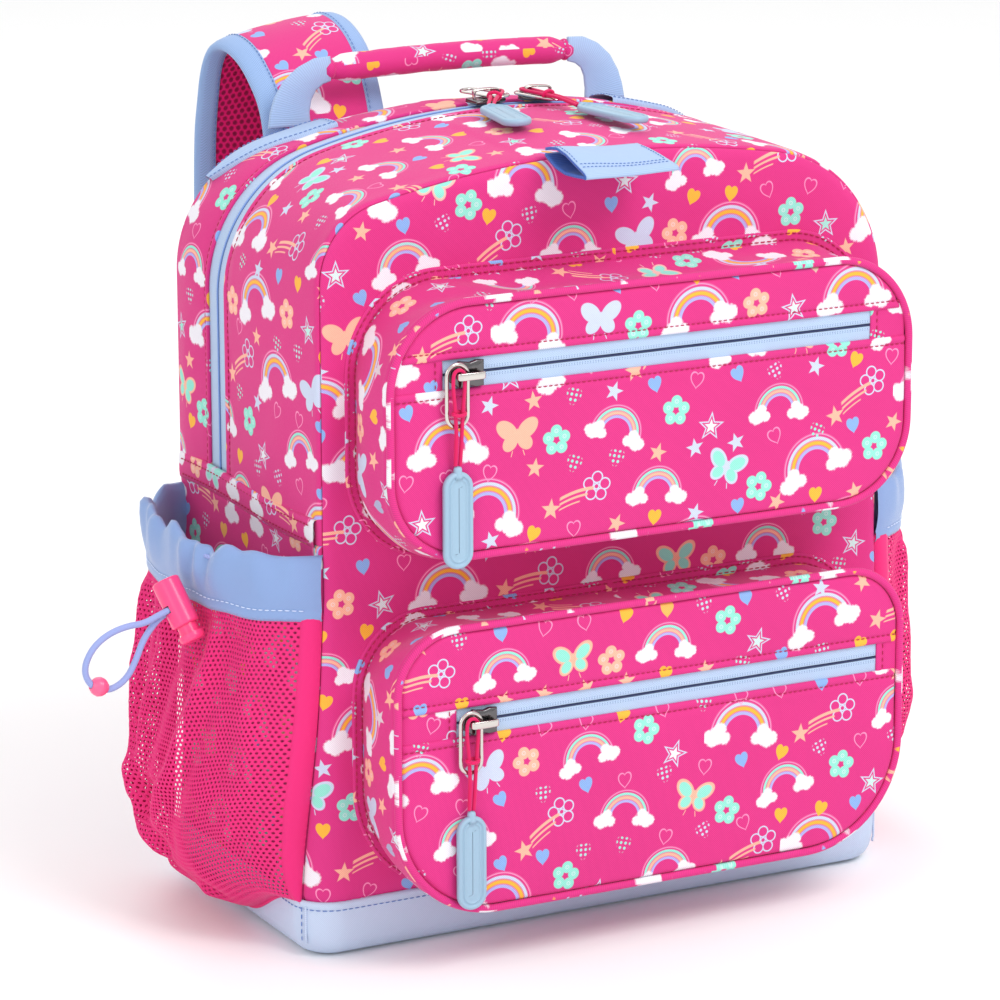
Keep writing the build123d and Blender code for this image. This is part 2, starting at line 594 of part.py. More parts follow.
# the spring at its length with the plunger pressed
with BuildPart() as cord_lock_spring:
    with BuildSketch(lock.offset(LOCK_TOP + 1.5)):
        Circle(3.4)
        Circle(2.5, mode=Mode.SUBTRACT)
    extrude(amount=plunger_top - PLUNGER_TRAVEL - LOCK_TOP - 1.5 - GAP)
save(cord_lock_spring.part, "cord_lock_spring")
print("lock axis", tuple(round(v, 4) for v in LOCK_AXIS))

# free loop of drawcord: out of the lock, round through the bead and back in beside itself
start_upper = lock.from_local_coords((STRAND_START, -STRAND_OFFSET, 0))
mouth_upper = lock.from_local_coords((STRAND_MOUTH, -STRAND_OFFSET, 0))
mouth_lower = lock.from_local_coords((STRAND_MOUTH, STRAND_OFFSET, 0))
end_lower = lock.from_local_coords((STRAND_START, STRAND_OFFSET, 0))
DRAWCORD_LOOP = [tuple(start_upper), tuple(mouth_upper), (-203.5, -26.8, 151.5), (-213.0, -26.9, 151.5),
                 (-222.5, -26.7, 148.5), (-229.5, -26.3, 142.5), (-233.0, -25.8, 133.5),
                 (-229.0, -25.3, 125.5), (-220.5, -24.8, 122.5), (-212.0, -24.3, 126.5),
                 (-207.0, -24.0, 135.0), (-203.5, -24.0, 144.0), tuple(mouth_lower), tuple(end_lower)]
make_cord(DRAWCORD_LOOP, DRAWCORD_RADIUS, "drawcord_loop", 3)
with BuildPart() as drawcord_bead:
    with Locations(BEAD_CENTRE):
        Sphere(BEAD_RADIUS)
save(drawcord_bead.part, "drawcord_bead")

# ---- handle, hang loop --------------------------------------------------------------------------
with BuildPart() as handle_grip:
    with BuildSketch(Plane.YZ.offset(-GRIP_LENGTH / 2)):
        with Locations((HANDLE_Y, HANDLE_GRIP_Z)):
            Circle(GRIP_RADIUS)
    extrude(amount=GRIP_LENGTH)
    fillet(handle_grip.edges().filter_by(GeomType.CIRCLE), 1.5)
save(handle_grip.part, "handle_grip")

with BuildPart() as handle_webbing:
    with BuildSketch(Plane.XZ.offset(-HANDLE_Y - WEBBING / 2)):
        end_x = GRIP_LENGTH / 2 + GAP
        with BuildLine():
            Polyline((HANDLE_ROOT_X + 13, HANDLE_ROOT_Z), (HANDLE_ROOT_X + 10, 360), (77, 372),
                     (end_x, HANDLE_GRIP_Z + 5), (end_x, HANDLE_GRIP_Z - 5), (69, 361),
                     (HANDLE_ROOT_X - 8, HANDLE_ROOT_Z), close=True)
        make_face()
        mirror(about=Plane.YZ)
    extrude(amount=WEBBING)
save(handle_webbing.part, "handle_webbing")

with BuildPart() as hang_loop:
    hang_plane = Plane(origin=(HANG_X - HANG_WIDTH / 2, *HANG_ROOT), x_dir=(0, -1, -HANG_DROOP),
                       z_dir=(1, 0, 0))
    with BuildSketch(hang_plane):
        with Locations((HANG_LENGTH / 2, 0)):
            SlotOverall(HANG_LENGTH, HANG_THICKNESS)
            SlotOverall(HANG_LENGTH - 2 * WEBBING, HANG_THICKNESS - 2 * WEBBING, mode=Mode.SUBTRACT)
        with Locations((0, 0)):
            Rectangle(10.0, 12, mode=Mode.SUBTRACT)
    extrude(amount=HANG_WIDTH)
save(hang_loop.part, "hang_loop")

# ---- shoulder straps ----------------------------------------------------------------------------

def strap_plane(side):
    """Upright plane through one strap, leaning outwards towards the base: x back, y up the strap."""
    lean = radians(STRAP_LEAN)
    return Plane(origin=(side * STRAP_X, 0, STRAP_ROOT[1]), x_dir=(0, 1, 0),
                 z_dir=(cos(lean), 0, side * sin(lean)))


def ribbon(plane, points, width, thickness, radii):
    """Flat band along a route in its plane."""
    nodes = [plane.from_local_coords((y, z - STRAP_ROOT[1], 0)) for y, z in points]
    with BuildPart() as band:
        with BuildLine() as route:
            FilletPolyline(*nodes, radius=radii)
        with BuildSketch(Plane(origin=route.line @ 0, x_dir=plane.z_dir, z_dir=route.line % 0)):
            Rectangle(width, thickness)
        sweep()
    return band.part


lock_frames = []
for side, name, pad in ((-1, "left", PAD_LEFT), (1, "right", PAD_RIGHT)):
    plane = strap_plane(side)
    radii = corner_radii([(0, y, z) for y, z in pad], f"strap_pad_{name}", STRAP_THICKNESS / 2)
    save(ribbon(plane, pad, STRAP_WIDTH, STRAP_THICKNESS, radii), f"strap_pad_{name}")
    end_y, end_z = pad[-1]
    frame_z = end_z - 8 - LOCK_FRAME[1] / 2
    frame_y = end_y - 3
    frame_centre = plane.from_local_coords((frame_y, frame_z - STRAP_ROOT[1], 0))
    with BuildPart() as ladder_lock:
        frame_plane = Plane(origin=frame_centre, x_dir=plane.z_dir, z_dir=plane.x_dir)
        with BuildSketch(frame_plane.offset(-LOCK_FRAME[2] / 2)):
            RectangleRounded(LOCK_FRAME[0], LOCK_FRAME[1], 4)
            with Locations((0, 5.5), (0, -5.0)):
                Rectangle(STRAP_WEBBING_WIDTH + 1.5, 6.5, mode=Mode.SUBTRACT)
        extrude(amount=LOCK_FRAME[2])
    lock_frames.append(ladder_lock.part)
    inner_y = frame_y - LOCK_FRAME[2] / 2 - 0.3 - WEBBING / 2
    outer_y = frame_y + LOCK_FRAME[2] / 2 + 0.3 + WEBBING / 2
    fold_z = frame_z + 6.3
    webbing = [(80.0, 30.0), (inner_y - 2, frame_z - 45), (inner_y, fold_z), (outer_y, fold_z),
               (outer_y + 1, frame_z - 24), (outer_y - 3, frame_z - 52)]
    if name == "right":
        webbing = [(80.0, 30.0), (inner_y - 6, 45.0), (inner_y, fold_z), (outer_y, fold_z),
                   (outer_y + 1, frame_z - 20), (outer_y + 4, frame_z - 40)]
    radii = corner_radii([(0, y, z) for y, z in webbing], f"strap_webbing_{name}", WEBBING / 2)
    fold = (outer_y - inner_y) / 2 - 0.05
    radii[1] = fold
    radii[2] = fold
    radii = [min(radius, 60) for radius in radii]
    save(ribbon(plane, webbing, STRAP_WEBBING_WIDTH, WEBBING, radii), f"strap_webbing_{name}")

ladder_locks = Compound(children=[frame.solid() for frame in lock_frames])
save(ladder_locks, "ladder_locks")

# triangular tabs that anchor the lower webbing at the base
foot, head, low, high, tab_thickness = WING_TAB
with BuildPart() as wing_tabs:
    for side in (-1, 1):
        anchor = strap_plane(side).from_local_coords((80.0, 30.0 - STRAP_ROOT[1], 0))
        with BuildSketch(Plane.XZ.offset(-BACK_Y - GAP)):
            with BuildLine():
                Polyline((anchor.X - foot, low), (anchor.X + foot, low), (anchor.X + head, high),
                         (anchor.X - head, high), close=True)
            make_face()
        extrude(amount=-tab_thickness)
save(wing_tabs.part, "wing_tabs")

yoke_width, yoke_height, yoke_thickness, yoke_z = YOKE
with BuildPart() as back_yoke:
    with BuildSketch(Plane.XZ.offset(-BACK_Y - GAP)):
        with Locations((0, yoke_z)):
            RectangleRounded(yoke_width, yoke_height, 4)
    extrude(amount=-yoke_thickness)
save(back_yoke.part, "back_yoke")
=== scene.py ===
import math

import bpy
import numpy as np
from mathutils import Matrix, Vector, noise


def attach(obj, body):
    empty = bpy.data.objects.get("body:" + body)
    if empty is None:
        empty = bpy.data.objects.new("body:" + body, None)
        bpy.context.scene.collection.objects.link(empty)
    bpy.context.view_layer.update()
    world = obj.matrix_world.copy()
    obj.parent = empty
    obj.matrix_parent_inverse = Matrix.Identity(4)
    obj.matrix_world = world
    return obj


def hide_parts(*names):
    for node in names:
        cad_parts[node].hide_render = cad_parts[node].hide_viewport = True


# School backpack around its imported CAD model. Shapes are worked out in millimetres in the CAD's
# frame (+X right, front pockets to -Y, +Z up, floor at 0) and written to the meshes in metres.

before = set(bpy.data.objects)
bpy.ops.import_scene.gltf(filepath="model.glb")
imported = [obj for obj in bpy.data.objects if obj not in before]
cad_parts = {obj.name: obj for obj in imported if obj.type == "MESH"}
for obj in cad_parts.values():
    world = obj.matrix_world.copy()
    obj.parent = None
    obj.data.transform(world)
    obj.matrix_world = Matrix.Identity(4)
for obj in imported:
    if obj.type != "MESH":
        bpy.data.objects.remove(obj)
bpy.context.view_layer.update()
MM = 0.001


# ---- small maths --------------------------------------------------------------------------------
def srgb(red, green, blue):
    """Scene-linear colour of an 0-255 sRGB one."""
    def lin(v):
        v /= 255
        return v / 12.92 if v <= 0.04045 else ((v + 0.055) / 1.055) ** 2.4
    return (lin(red), lin(green), lin(blue), 1.0)


def unit(v):
    v = np.asarray(v, float)
    return v / max(np.linalg.norm(v), 1e-9)


def smooth(x):
    x = min(max(x, 0.0), 1.0)
    return x * x * (3 - 2 * x)


def resample(points, count, closed=False):
    """Points spaced evenly along a polyline."""
    pts = np.asarray(points, float)
    if closed:
        pts = np.vstack([pts, pts[:1]])
    run = np.concatenate([[0], np.cumsum(np.linalg.norm(np.diff(pts, axis=0), axis=1))])
    at = np.linspace(0, run[-1], count + 1 if closed else count)
    out = np.stack([np.interp(at, run, pts[:, k]) for k in range(pts.shape[1])], axis=1)
    return out[:-1] if closed else out


def path_length(points):
    return float(np.linalg.norm(np.diff(np.asarray(points), axis=0), axis=1).sum())


# ---- camera -------------------------------------------------------------------------------------
def aim_camera(azimuth, elevation, distance, aim, lens, shift):
    a, e = math.radians(azimuth), math.radians(elevation)
    back = Vector((math.sin(a) * math.cos(e), -math.cos(a) * math.cos(e), math.sin(e)))
    data = bpy.data.cameras.new("Camera")
    data.lens = lens
    data.sensor_width = 36
    data.clip_end = 20
    data.shift_x, data.shift_y = shift
    cam = bpy.data.objects.new("Camera", data)
    bpy.context.scene.collection.objects.link(cam)
    cam.location = Vector(aim) + back * distance
    cam.rotation_euler = back.to_track_quat("Z", "Y").to_euler()
    bpy.context.scene.camera = cam


aim_camera(azimuth=-28.0, elevation=14.5, distance=2.075, aim=(0, 0, 0.180), lens=162, shift=(-0.028, -0.008))


# ---- node values with arithmetic ----------------------------------------------------------------
class Val:
    """A number in a shader tree; arithmetic on it adds Math nodes."""

    def __init__(self, tree, out):
        self.tree, self.out = tree, out

    def op(self, kind, *others):
        node = self.tree.nodes.new("ShaderNodeMath")
        node.operation = kind
        for k, item in enumerate((self, *others)):
            if isinstance(item, Val):
                self.tree.links.new(item.out, node.inputs[k])
            else:
                node.inputs[k].default_value = item
        return Val(self.tree, node.outputs[0])

    def flip(self, kind, other):
        node = self.tree.nodes.new("ShaderNodeMath")
        node.operation = kind
        node.inputs[0].default_value = other
        self.tree.links.new(self.out, node.inputs[1])
        return Val(self.tree, node.outputs[0])

    def __add__(self, o): return self.op("ADD", o)
    def __radd__(self, o): return self.op("ADD", o)
    def __sub__(self, o): return self.op("SUBTRACT", o)
    def __rsub__(self, o): return self.flip("SUBTRACT", o)
    def __mul__(self, o): return self.op("MULTIPLY", o)
    def __rmul__(self, o): return self.op("MULTIPLY", o)
    def __truediv__(self, o): return self.op("DIVIDE", o)
    def __abs__(self): return self.op("ABSOLUTE")
    def __neg__(self): return self.op("MULTIPLY", -1.0)
    def sin(self): return self.op("SINE")
    def cos(self): return self.op("COSINE")
    def sqrt(self): return self.op("SQRT")
    def floor(self): return self.op("FLOOR")
    def mod(self, o): return self.op("FLOORED_MODULO", o)
    def least(self, o): return self.op("MINIMUM", o)
    def most(self, o): return self.op("MAXIMUM", o)
    def angle(self, x): return self.op("ARCTAN2", x)

    def below(self, edge, soft=0.12):
        """1 where this is under the edge, 0 above it, with a soft step."""
        return ((edge - self) / (2 * soft) + 0.5).op("MAXIMUM", 0.0).op("MINIMUM", 1.0)


def mix(tree, amount, low, high):
    """Colour between two, each a socket or an RGBA tuple."""
    node = tree.nodes.new("ShaderNodeMix")
    node.data_type = "RGBA"
    for socket, item in ((node.inputs[0], amount), (node.inputs[6], low), (node.inputs[7], high)):
        if isinstance(item, Val):
            tree.links.new(item.out, socket)
        elif isinstance(item, bpy.types.NodeSocket):
            tree.links.new(item, socket)
        else:
            socket.default_value = item
    return node.outputs[2]


def length(x, y):
    return (x * x + y * y).sqrt()


def turned(x, y, angle):
    c, s = angle.cos(), angle.sin()
    return x * c + y * s, y * c - x * s


def random3(tree, x, y, seed):
    """Three random numbers for a lattice cell."""
    join = tree.nodes.new("ShaderNodeCombineXYZ")
    tree.links.new(x.out, join.inputs[0])
    tree.links.new(y.out, join.inputs[1])
    join.inputs[2].default_value = seed
    white = tree.nodes.new("ShaderNodeTexWhiteNoise")
    white.noise_dimensions = "3D"
    tree.links.new(join.outputs[0], white.inputs["Vector"])
    split = tree.nodes.new("ShaderNodeSeparateColor")
    tree.links.new(white.outputs["Color"], split.inputs[0])
    return [Val(tree, split.outputs[k]) for k in range(3)]


# ---- motif outlines, each a mask on a plane in millimetres --------------------------------------
def heart(x, y, size):
    """Below 0 inside a heart about 2.2 x size wide."""
    px, py = abs(x) / size, y / size + 0.15
    lift = py - (px + 0.0004).sqrt() * 0.72 + 0.12
    return length(px * 0.96, lift) - 1.0


def star(x, y, size):
    """Distance past a five-pointed star's edge."""
    turn = (x.angle(y) + math.pi / 5).mod(2 * math.pi / 5) - math.pi / 5
    r = length(x, y)
    px, py = r * turn.cos(), abs(r * turn.sin())
    tip = (1.0, 0.0)
    notch = (0.42 * math.cos(math.pi / 5), 0.42 * math.sin(math.pi / 5))
    edge = unit((notch[1] - tip[1], tip[0] - notch[0]))
    return (px - size) * float(edge[0]) + py * float(edge[1])


def flower(x, y, size):
    """Distance past a five-petalled flower's edge."""
    turn = (x.angle(y) + math.pi / 5).mod(2 * math.pi / 5) - math.pi / 5
    r = length(x, y)
    return length(r * turn.cos() - 0.60 * size, r * turn.sin()) - 0.40 * size


def disc(x, y, cx, cy, r):
    return length(x - cx, y - cy) - r


PRINT_DENSITY = 1.11
CELL_W, CELL_H = 45.0, 33.0


def print_colour(tree, u, v, base):
    """The printed cloth's colour at (u, v) millimetres: motifs on a brick lattice."""
    u, v = u * PRINT_DENSITY, v * PRINT_DENSITY
    row = (v / CELL_H).floor()
    shift = row.mod(2.0) * (CELL_W / 2)
    col = ((u + shift) / CELL_W).floor()
    pick = (col + row * 2.0 + (row / 2.0).floor()).mod(6.0)
    r1, r2, r3 = random3(tree, col, row, 3.7)
    x0 = u + shift - (col + 0.5) * CELL_W + (r2 - 0.5) * 3.0
    y0 = v - (row + 0.5) * CELL_H + (r3 - 0.5) * 3.0
    x, y = turned(x0, y0, (r1 - 0.5) * 0.75)
    colour = base
    white = srgb(244, 240, 248)
    lilac = srgb(178, 178, 240)
    pale = srgb(206, 216, 240)
    mint = srgb(150, 232, 214)
    peach = srgb(255, 186, 160)
    gold = srgb(255, 186, 62)
    blue = srgb(140, 178, 236)
    rose = srgb(252, 150, 196)

    # rainbow: three bands and a thin outer line, ending in two clouds
    is_bow = pick.mod(2.0).below(0.5)
    small = r2.below(0.45, 0.01)
    grow = 0.84 + small * 0.22
    bx, by = x * grow, (y + 3.6) * grow
    radius = length(bx, by)
    over = (-by).below(0.4)
    fine = (radius * 9.0).sin() * 0.12
    outer_tint = mix(tree, small, pale, mint)
    middle_tint = mix(tree, small, gold, peach)
    for centre, half, tint in ((14.6, 0.32, rose), (12.7, 0.75, outer_tint), (10.7, 0.85, middle_tint),
                               (8.8, 0.7, lilac)):
        stripe = (abs(radius - centre) + fine).below(half, 0.22) * over * is_bow
        colour = mix(tree, stripe, colour, tint)
    ax = abs(bx)
    puff = disc(ax, by, 11.6, -1.0, 4.0)
    for cx, cy, r in ((7.9, -2.0, 2.7), (15.2, -1.8, 3.0), (10.4, 1.6, 2.8), (13.4, -3.0, 2.9)):
        puff = puff.least(disc(ax, by, cx, cy, r))
    ripple = tree.nodes.new("ShaderNodeTexNoise")
    ripple.inputs["Scale"].default_value = 0.9
    ripple.inputs["Detail"].default_value = 2.0
    where = tree.nodes.new("ShaderNodeCombineXYZ")
    tree.links.new(u.out, where.inputs[0])
    tree.links.new(v.out, where.inputs[1])
    tree.links.new(where.outputs[0], ripple.inputs["Vector"])
    wobble = Val(tree, ripple.outputs["Fac"]) - 0.5
    cloud = (puff + wobble * 1.6).below(0.0, 0.45) * is_bow
    colour = mix(tree, cloud, colour, white)

    # butterfly, in cell 1
    is_one = abs(pick - 1.0).below(0.5, 0.01)
    wx, wy = abs(x + 7.5), y - 0.5
    upper = length((wx * 0.78 + wy * 0.63 - 6.4) / 6.3, (wy * 0.78 - wx * 0.63 + 1.0) / 4.1)
    lower = length((wx * 0.66 - wy * 0.75 - 4.9) / 4.6, (wy * 0.66 + wx * 0.75 - 0.9) / 3.5)
    wing = upper.least(lower)
    body = (wx.below(0.35, 0.15)) * abs(wy).below(3.4, 0.2)
    tail = abs(wx - 3.0 + (wy + 8.0) * 0.3).below(0.22, 0.12) * abs(wy + 8.6).below(1.4, 0.15)
    tint_a = mix(tree, r3.below(0.5, 0.01), peach, pale)
    tint_b = mix(tree, r2.below(0.5, 0.01), tint_a, mint)
    wing_in = mix(tree, wing.below(0.72, 0.05), tint_a, tint_b)
    colour = mix(tree, (wing.below(1.0, 0.05) + body + tail).least(1.0) * is_one, colour, wing_in)
    # flowers, filled in cells 1 and 3 and outlined in cell 5
    is_three = abs(pick - 3.0).below(0.5, 0.01)
    is_five = abs(pick - 5.0).below(0.5, 0.01)
    fx = x - is_one * 13.5 + is_three * 11.0 - is_five * 12.0
    fy = y + is_one * 4.5 - is_three * 3.0 - is_five * 4.0
    bloom = flower(fx, fy, 7.6)
    petals = bloom.below(0.0, 0.2) * (is_one + is_three)
    tint = mix(tree, r1.below(0.55, 0.01), peach, mint)
    veins = length(fx, fy).below(1.5, 0.2) + (abs(bloom + 2.2)).below(0.28, 0.2)
    tint = mix(tree, veins.least(1.0) * 0.45, tint, white)
    colour = mix(tree, petals, colour, tint)
    outline = abs(bloom + 0.3).below(0.34, 0.15) + abs(length(fx, fy) - 1.3).below(0.3, 0.15)
    colour = mix(tree, outline.least(1.0) * is_five, colour, pale)
    # outlined star with a filled middle, in cell 3
    sx, sy = x - 9.5, y + 5.0
    point = star(sx, sy, 7.0)
    colour = mix(tree, abs(point + 0.1).below(0.30, 0.14) * is_three, colour, pale)
    colour = mix(tree, point.below(-1.1, 0.2) * is_three, colour, mix(tree, r2, mint, white))
    # shooting star, in cell 5
    tx, ty = x + 12.0, y + 7.0
    shot = star(tx, ty, 5.4).below(0.0, 0.2)
    trail = 0.0
    for k, (reach, half) in enumerate(((21.0, 1.0), (18.0, 0.7), (14.0, 0.45))):
        line = ty - tx * 0.62 + tx * tx * 0.012 - 2.4 + k * 2.7
        stroke = abs(line).below(half * 0.8, 0.2) * abs(tx - reach / 2 - 3.0).below(reach / 2 - 1.5, 0.4)
        trail = stroke + trail
    colour = mix(tree, (trail.least(1.0) + shot).least(1.0) * is_five, colour, peach)

    # small hearts, stars and dots along the rows' edges
    small_w = CELL_W / 2
    edge_row = (v / CELL_H + 0.5).floor()
    edge_col = (u / small_w + 0.5).floor()
    q1, q2, q3 = random3(tree, edge_col, edge_row, 9.1)
    ex = u - edge_col * small_w + (q3 - 0.5) * 2.4
    ey = v - edge_row * CELL_H + (q1 - 0.5) * 1.6
    ex, ey = turned(ex, ey, (q2 - 0.5) * 0.9)
    fill = heart(ex, ey, 3.5)
    kind = (q1 * 5.0).floor()
    filled = fill.below(0.0, 0.05) * kind.below(1.5, 0.01)
    colour = mix(tree, filled, colour, mix(tree, q2.below(0.5, 0.01), blue, gold))
    ring = abs(fill + 0.03).below(0.085, 0.04)
    colour = mix(tree, ring * abs(kind - 2.0).below(0.5, 0.01), colour, rose)
    little = star(ex, ey, 5.0)
    star_in = little.below(0.0, 0.15) * abs(kind - 3.0).below(0.5, 0.01)
    colour = mix(tree, star_in, colour, mix(tree, q3.below(0.5, 0.01), pale, peach))
    dot_x, dot_y = ex.mod(2.6) - 1.3, ey.mod(2.6) - 1.3
    dots = length(dot_x, dot_y).below(0.75, 0.15) * heart(ex, ey, 3.9).below(0.0, 0.08)
    colour = mix(tree, dots * abs(kind - 4.0).below(0.5, 0.01), colour, mix(tree, q2, mint, pale))
    return colour


# ---- materials ----------------------------------------------------------------------------------
def shader(name, colour=None, roughness=0.7, metallic=0.0, sheen=0.0, specular=0.5, coat=0.0):
    mat = bpy.data.materials.new(name)
    mat.use_nodes = True
    bsdf = mat.node_tree.nodes["Principled BSDF"]
    if colour:
        bsdf.inputs["Base Color"].default_value = colour
    bsdf.inputs["Roughness"].default_value = roughness
    bsdf.inputs["Metallic"].default_value = metallic
    bsdf.inputs["Specular IOR Level"].default_value = specular
    bsdf.inputs["Sheen Weight"].default_value = sheen
    bsdf.inputs["Sheen Roughness"].default_value = 0.4
    bsdf.inputs["Coat Weight"].default_value = coat
    bsdf.inputs["Coat Roughness"].default_value = 0.15
    return mat, mat.node_tree, bsdf


def cloth_uv(tree):
    """The cloth's own coordinates in millimetres, along and across the weave."""
    node = tree.nodes.new("ShaderNodeUVMap")
    node.uv_map = "cloth"
    split = tree.nodes.new("ShaderNodeSeparateXYZ")
    tree.links.new(node.outputs["UV"], split.inputs[0])
    return Val(tree, split.outputs[0]), Val(tree, split.outputs[1])


def fade(tree, scale, detail=2.0):
    """Slow unevenness in object space, about 0 to 1."""
    coord = tree.nodes.new("ShaderNodeTexCoord")
    tex = tree.nodes.new("ShaderNodeTexNoise")
    tex.inputs["Scale"].default_value = scale
    tex.inputs["Detail"].default_value = detail
    tree.links.new(coord.outputs["Object"], tex.inputs["Vector"])
    return Val(tree, tex.outputs["Fac"])


def bump(tree, bsdf, height, depth_mm, strength=1.0):
    node = tree.nodes.new("ShaderNodeBump")
    node.inputs["Strength"].default_value = strength
    node.inputs["Distance"].default_value = depth_mm * MM
    tree.links.new(height.out, node.inputs["Height"])
    tree.links.new(node.outputs["Normal"], bsdf.inputs["Normal"])


def twill(u, v, pitch):
    """Diagonal ribs crossed by their threads, 0 to 1."""
    k = 2 * math.pi / pitch
    ribs = ((u + v) * k).sin() * 0.35
    threads = (u * (k * 1.7) - v * (k * 0.4)).sin() * 0.15
    return ribs + threads + 0.5


def plain_weave(u, v, pitch_u, pitch_v):
    a = (u * (2 * math.pi / pitch_u)).sin()
    b = (v * (2 * math.pi / pitch_v)).sin()
    return a * b * 0.4 + 0.5


def herringbone(u, v, pitch, column):
    """Slanting ribs that change direction with each column across the tape."""
    fold = abs(v.mod(2 * column) - column)
    return ((u + fold * 1.2) * (2 * math.pi / pitch)).sin() * 0.4 + 0.5


def tinted(tree, bsdf, colour, weave, depth=0.22, patches=0.10):
    """Colour darkened in the weave's gaps and in slow patches."""
    dark = tree.nodes.new("ShaderNodeMix")
    dark.data_type = "RGBA"
    dark.blend_type = "MULTIPLY"
    dark.inputs[0].default_value = 1.0
    if isinstance(colour, bpy.types.NodeSocket):
        tree.links.new(colour, dark.inputs[6])
    else:
        dark.inputs[6].default_value = colour
    shade = weave * depth + (1.0 - depth) + (fade(tree, 14.0) - 0.5) * patches
    grey = tree.nodes.new("ShaderNodeCombineColor")
    for k in range(3):
        tree.links.new(shade.out, grey.inputs[k])
    tree.links.new(grey.outputs[0], dark.inputs[7])
    tree.links.new(dark.outputs[2], bsdf.inputs["Base Color"])


PINK = srgb(222, 50, 134)
BLUE = srgb(196, 213, 238)


def printed_material(name):
    mat, tree, bsdf = shader(name, roughness=0.72, sheen=0.12, specular=0.3)
    u, v = cloth_uv(tree)
    weave = twill(u, v, 0.95)
    tinted(tree, bsdf, print_colour(tree, u, v, PINK), weave, 0.26, 0.12)
    bump(tree, bsdf, weave, 0.12, 0.7)
    return mat


def woven_material(name, colour, kind="twill", roughness=0.7, depth=0.2, sheen=0.15, pitch=0.9):
    mat, tree, bsdf = shader(name, roughness=roughness, sheen=sheen, specular=0.3)
    u, v = cloth_uv(tree)
    if kind == "twill":
        weave = twill(u, v, pitch)
    elif kind == "herringbone":
        weave = herringbone(u, v, pitch, 3.0)
    elif kind == "rib":
        weave = (u * (2 * math.pi / pitch)).sin() * 0.4 + 0.5
    else:
        weave = plain_weave(u, v, pitch, pitch)
    tinted(tree, bsdf, colour, weave, depth, 0.08)
    bump(tree, bsdf, weave, 0.14, 0.6)
    return mat


def tape_material(name, line, dot_share):
    """Zip tape: v runs across from the closing line at 0; two rows of dark thread dots each side."""
    mat, tree, bsdf = shader(name, roughness=0.65, sheen=0.15, specular=0.3)
    u, v = cloth_uv(tree)
    weave = herringbone(u, v, 1.15, 2.3)
    across = abs(v)
    dots = (u * (2 * math.pi / 1.3)).sin().most(0.0)
    rows = abs(across - 1.5).below(0.20, 0.1) + abs(across - 2.2).below(0.16, 0.1)
    colour = mix(tree, rows * dots * dot_share, srgb(180, 202, 232), srgb(70, 96, 160))
    colour = mix(tree, across.below(0.55, 0.1), colour, line)
    tinted(tree, bsdf, colour, weave, 0.20, 0.05)
    bump(tree, bsdf, weave - across.below(0.5, 0.2) * 1.5, 0.16, 0.7)
    return mat


def spacer_material(name, colour, pitch):
    """Three-layer mesh: rows of small round wells."""
    mat, tree, bsdf = shader(name, roughness=0.8, sheen=0.2, specular=0.2)
    u, v = cloth_uv(tree)
    row = (v / (pitch * 0.86)).floor()
    x = (u + row.mod(2.0) * (pitch / 2)).mod(pitch) - pitch / 2
    y = v.mod(pitch * 0.86) - pitch * 0.43
    well = length(x, y * 0.9).below(pitch * 0.30, pitch * 0.10)
    # The wells are painted a darker pink and darkened once more: painted shade down inside them.
    tinted(tree, bsdf, mix(tree, well * 0.75, colour, srgb(120, 8, 60)), 1.0 - well, 0.25, 0.08)
    bump(tree, bsdf, 1.0 - well, 0.5, 0.8)
    return mat


def thread_material(name, colour):
    mat, tree, bsdf = shader(name, colour=colour, roughness=0.55, sheen=0.1, specular=0.35)
    grain = fade(tree, 2600.0, 1.0)
    bump(tree, bsdf, grain, 0.05, 0.6)
    return mat


def moulded_material(name, colour, roughness, coat=0.0):
    """Moulded plastic or rubber with a faint orange peel and slight unevenness."""
    mat, tree, bsdf = shader(name, roughness=roughness, specular=0.45, coat=coat)
    tinted(tree, bsdf, colour, fade(tree, 900.0, 3.0), 0.05, 0.04)
    bump(tree, bsdf, fade(tree, 500.0, 3.0), 0.04, 0.35)
    return mat


def metal_material(name, colour, roughness):
    mat, tree, bsdf = shader(name, colour=colour, roughness=roughness, metallic=1.0)
    scratch = fade(tree, 260.0, 4.0)
    bump(tree, bsdf, scratch, 0.02, 0.25)
    return mat


def braid_material(name, colour, pitch):
    """Braided cord: u along it, v round it (0 to 1)."""
    mat, tree, bsdf = shader(name, roughness=0.6, sheen=0.2, specular=0.3)
    u, v = cloth_uv(tree)
    a = ((u / pitch + v * 4.0) * (2 * math.pi)).sin()
    b = ((u / pitch - v * 4.0) * (2 * math.pi)).sin()
    weave = a.most(b) * 0.4 + 0.5
    tinted(tree, bsdf, colour, weave, 0.3, 0.05)
    bump(tree, bsdf, weave, 0.15, 0.7)
    return mat


printed = printed_material("printed_twill")
blue_twill = woven_material("blue_twill", BLUE, pitch=0.9)
blue_webbing = woven_material("blue_webbing", srgb(166, 190, 226), kind="rib", pitch=0.9, depth=0.18)
blue_satin = woven_material("blue_satin", srgb(138, 166, 216), pitch=0.7, roughness=0.36, sheen=0.35)
blue_binding = woven_material("blue_binding", srgb(150, 180, 226), kind="herringbone", pitch=1.3, depth=0.3)
zip_tape = tape_material("zip_tape", srgb(34, 48, 92), 0.75)
plain_tape = tape_material("plain_zip_tape", srgb(112, 142, 200), 0.2)
coil_cord = thread_material("coil_cord", srgb(34, 46, 88))
pale_coil = thread_material("pale_coil", srgb(120, 150, 208))
mesh_yarn = woven_material("mesh_yarn", srgb(236, 40, 124), kind="plain", pitch=0.8)
spacer_mesh = spacer_material("spacer_mesh", srgb(220, 24, 108), 3.4)
pink_thread = thread_material("pink_thread", srgb(176, 14, 74))
blue_thread = thread_material("blue_thread", srgb(96, 128, 190))
pale_thread = thread_material("pale_thread", srgb(206, 220, 246))
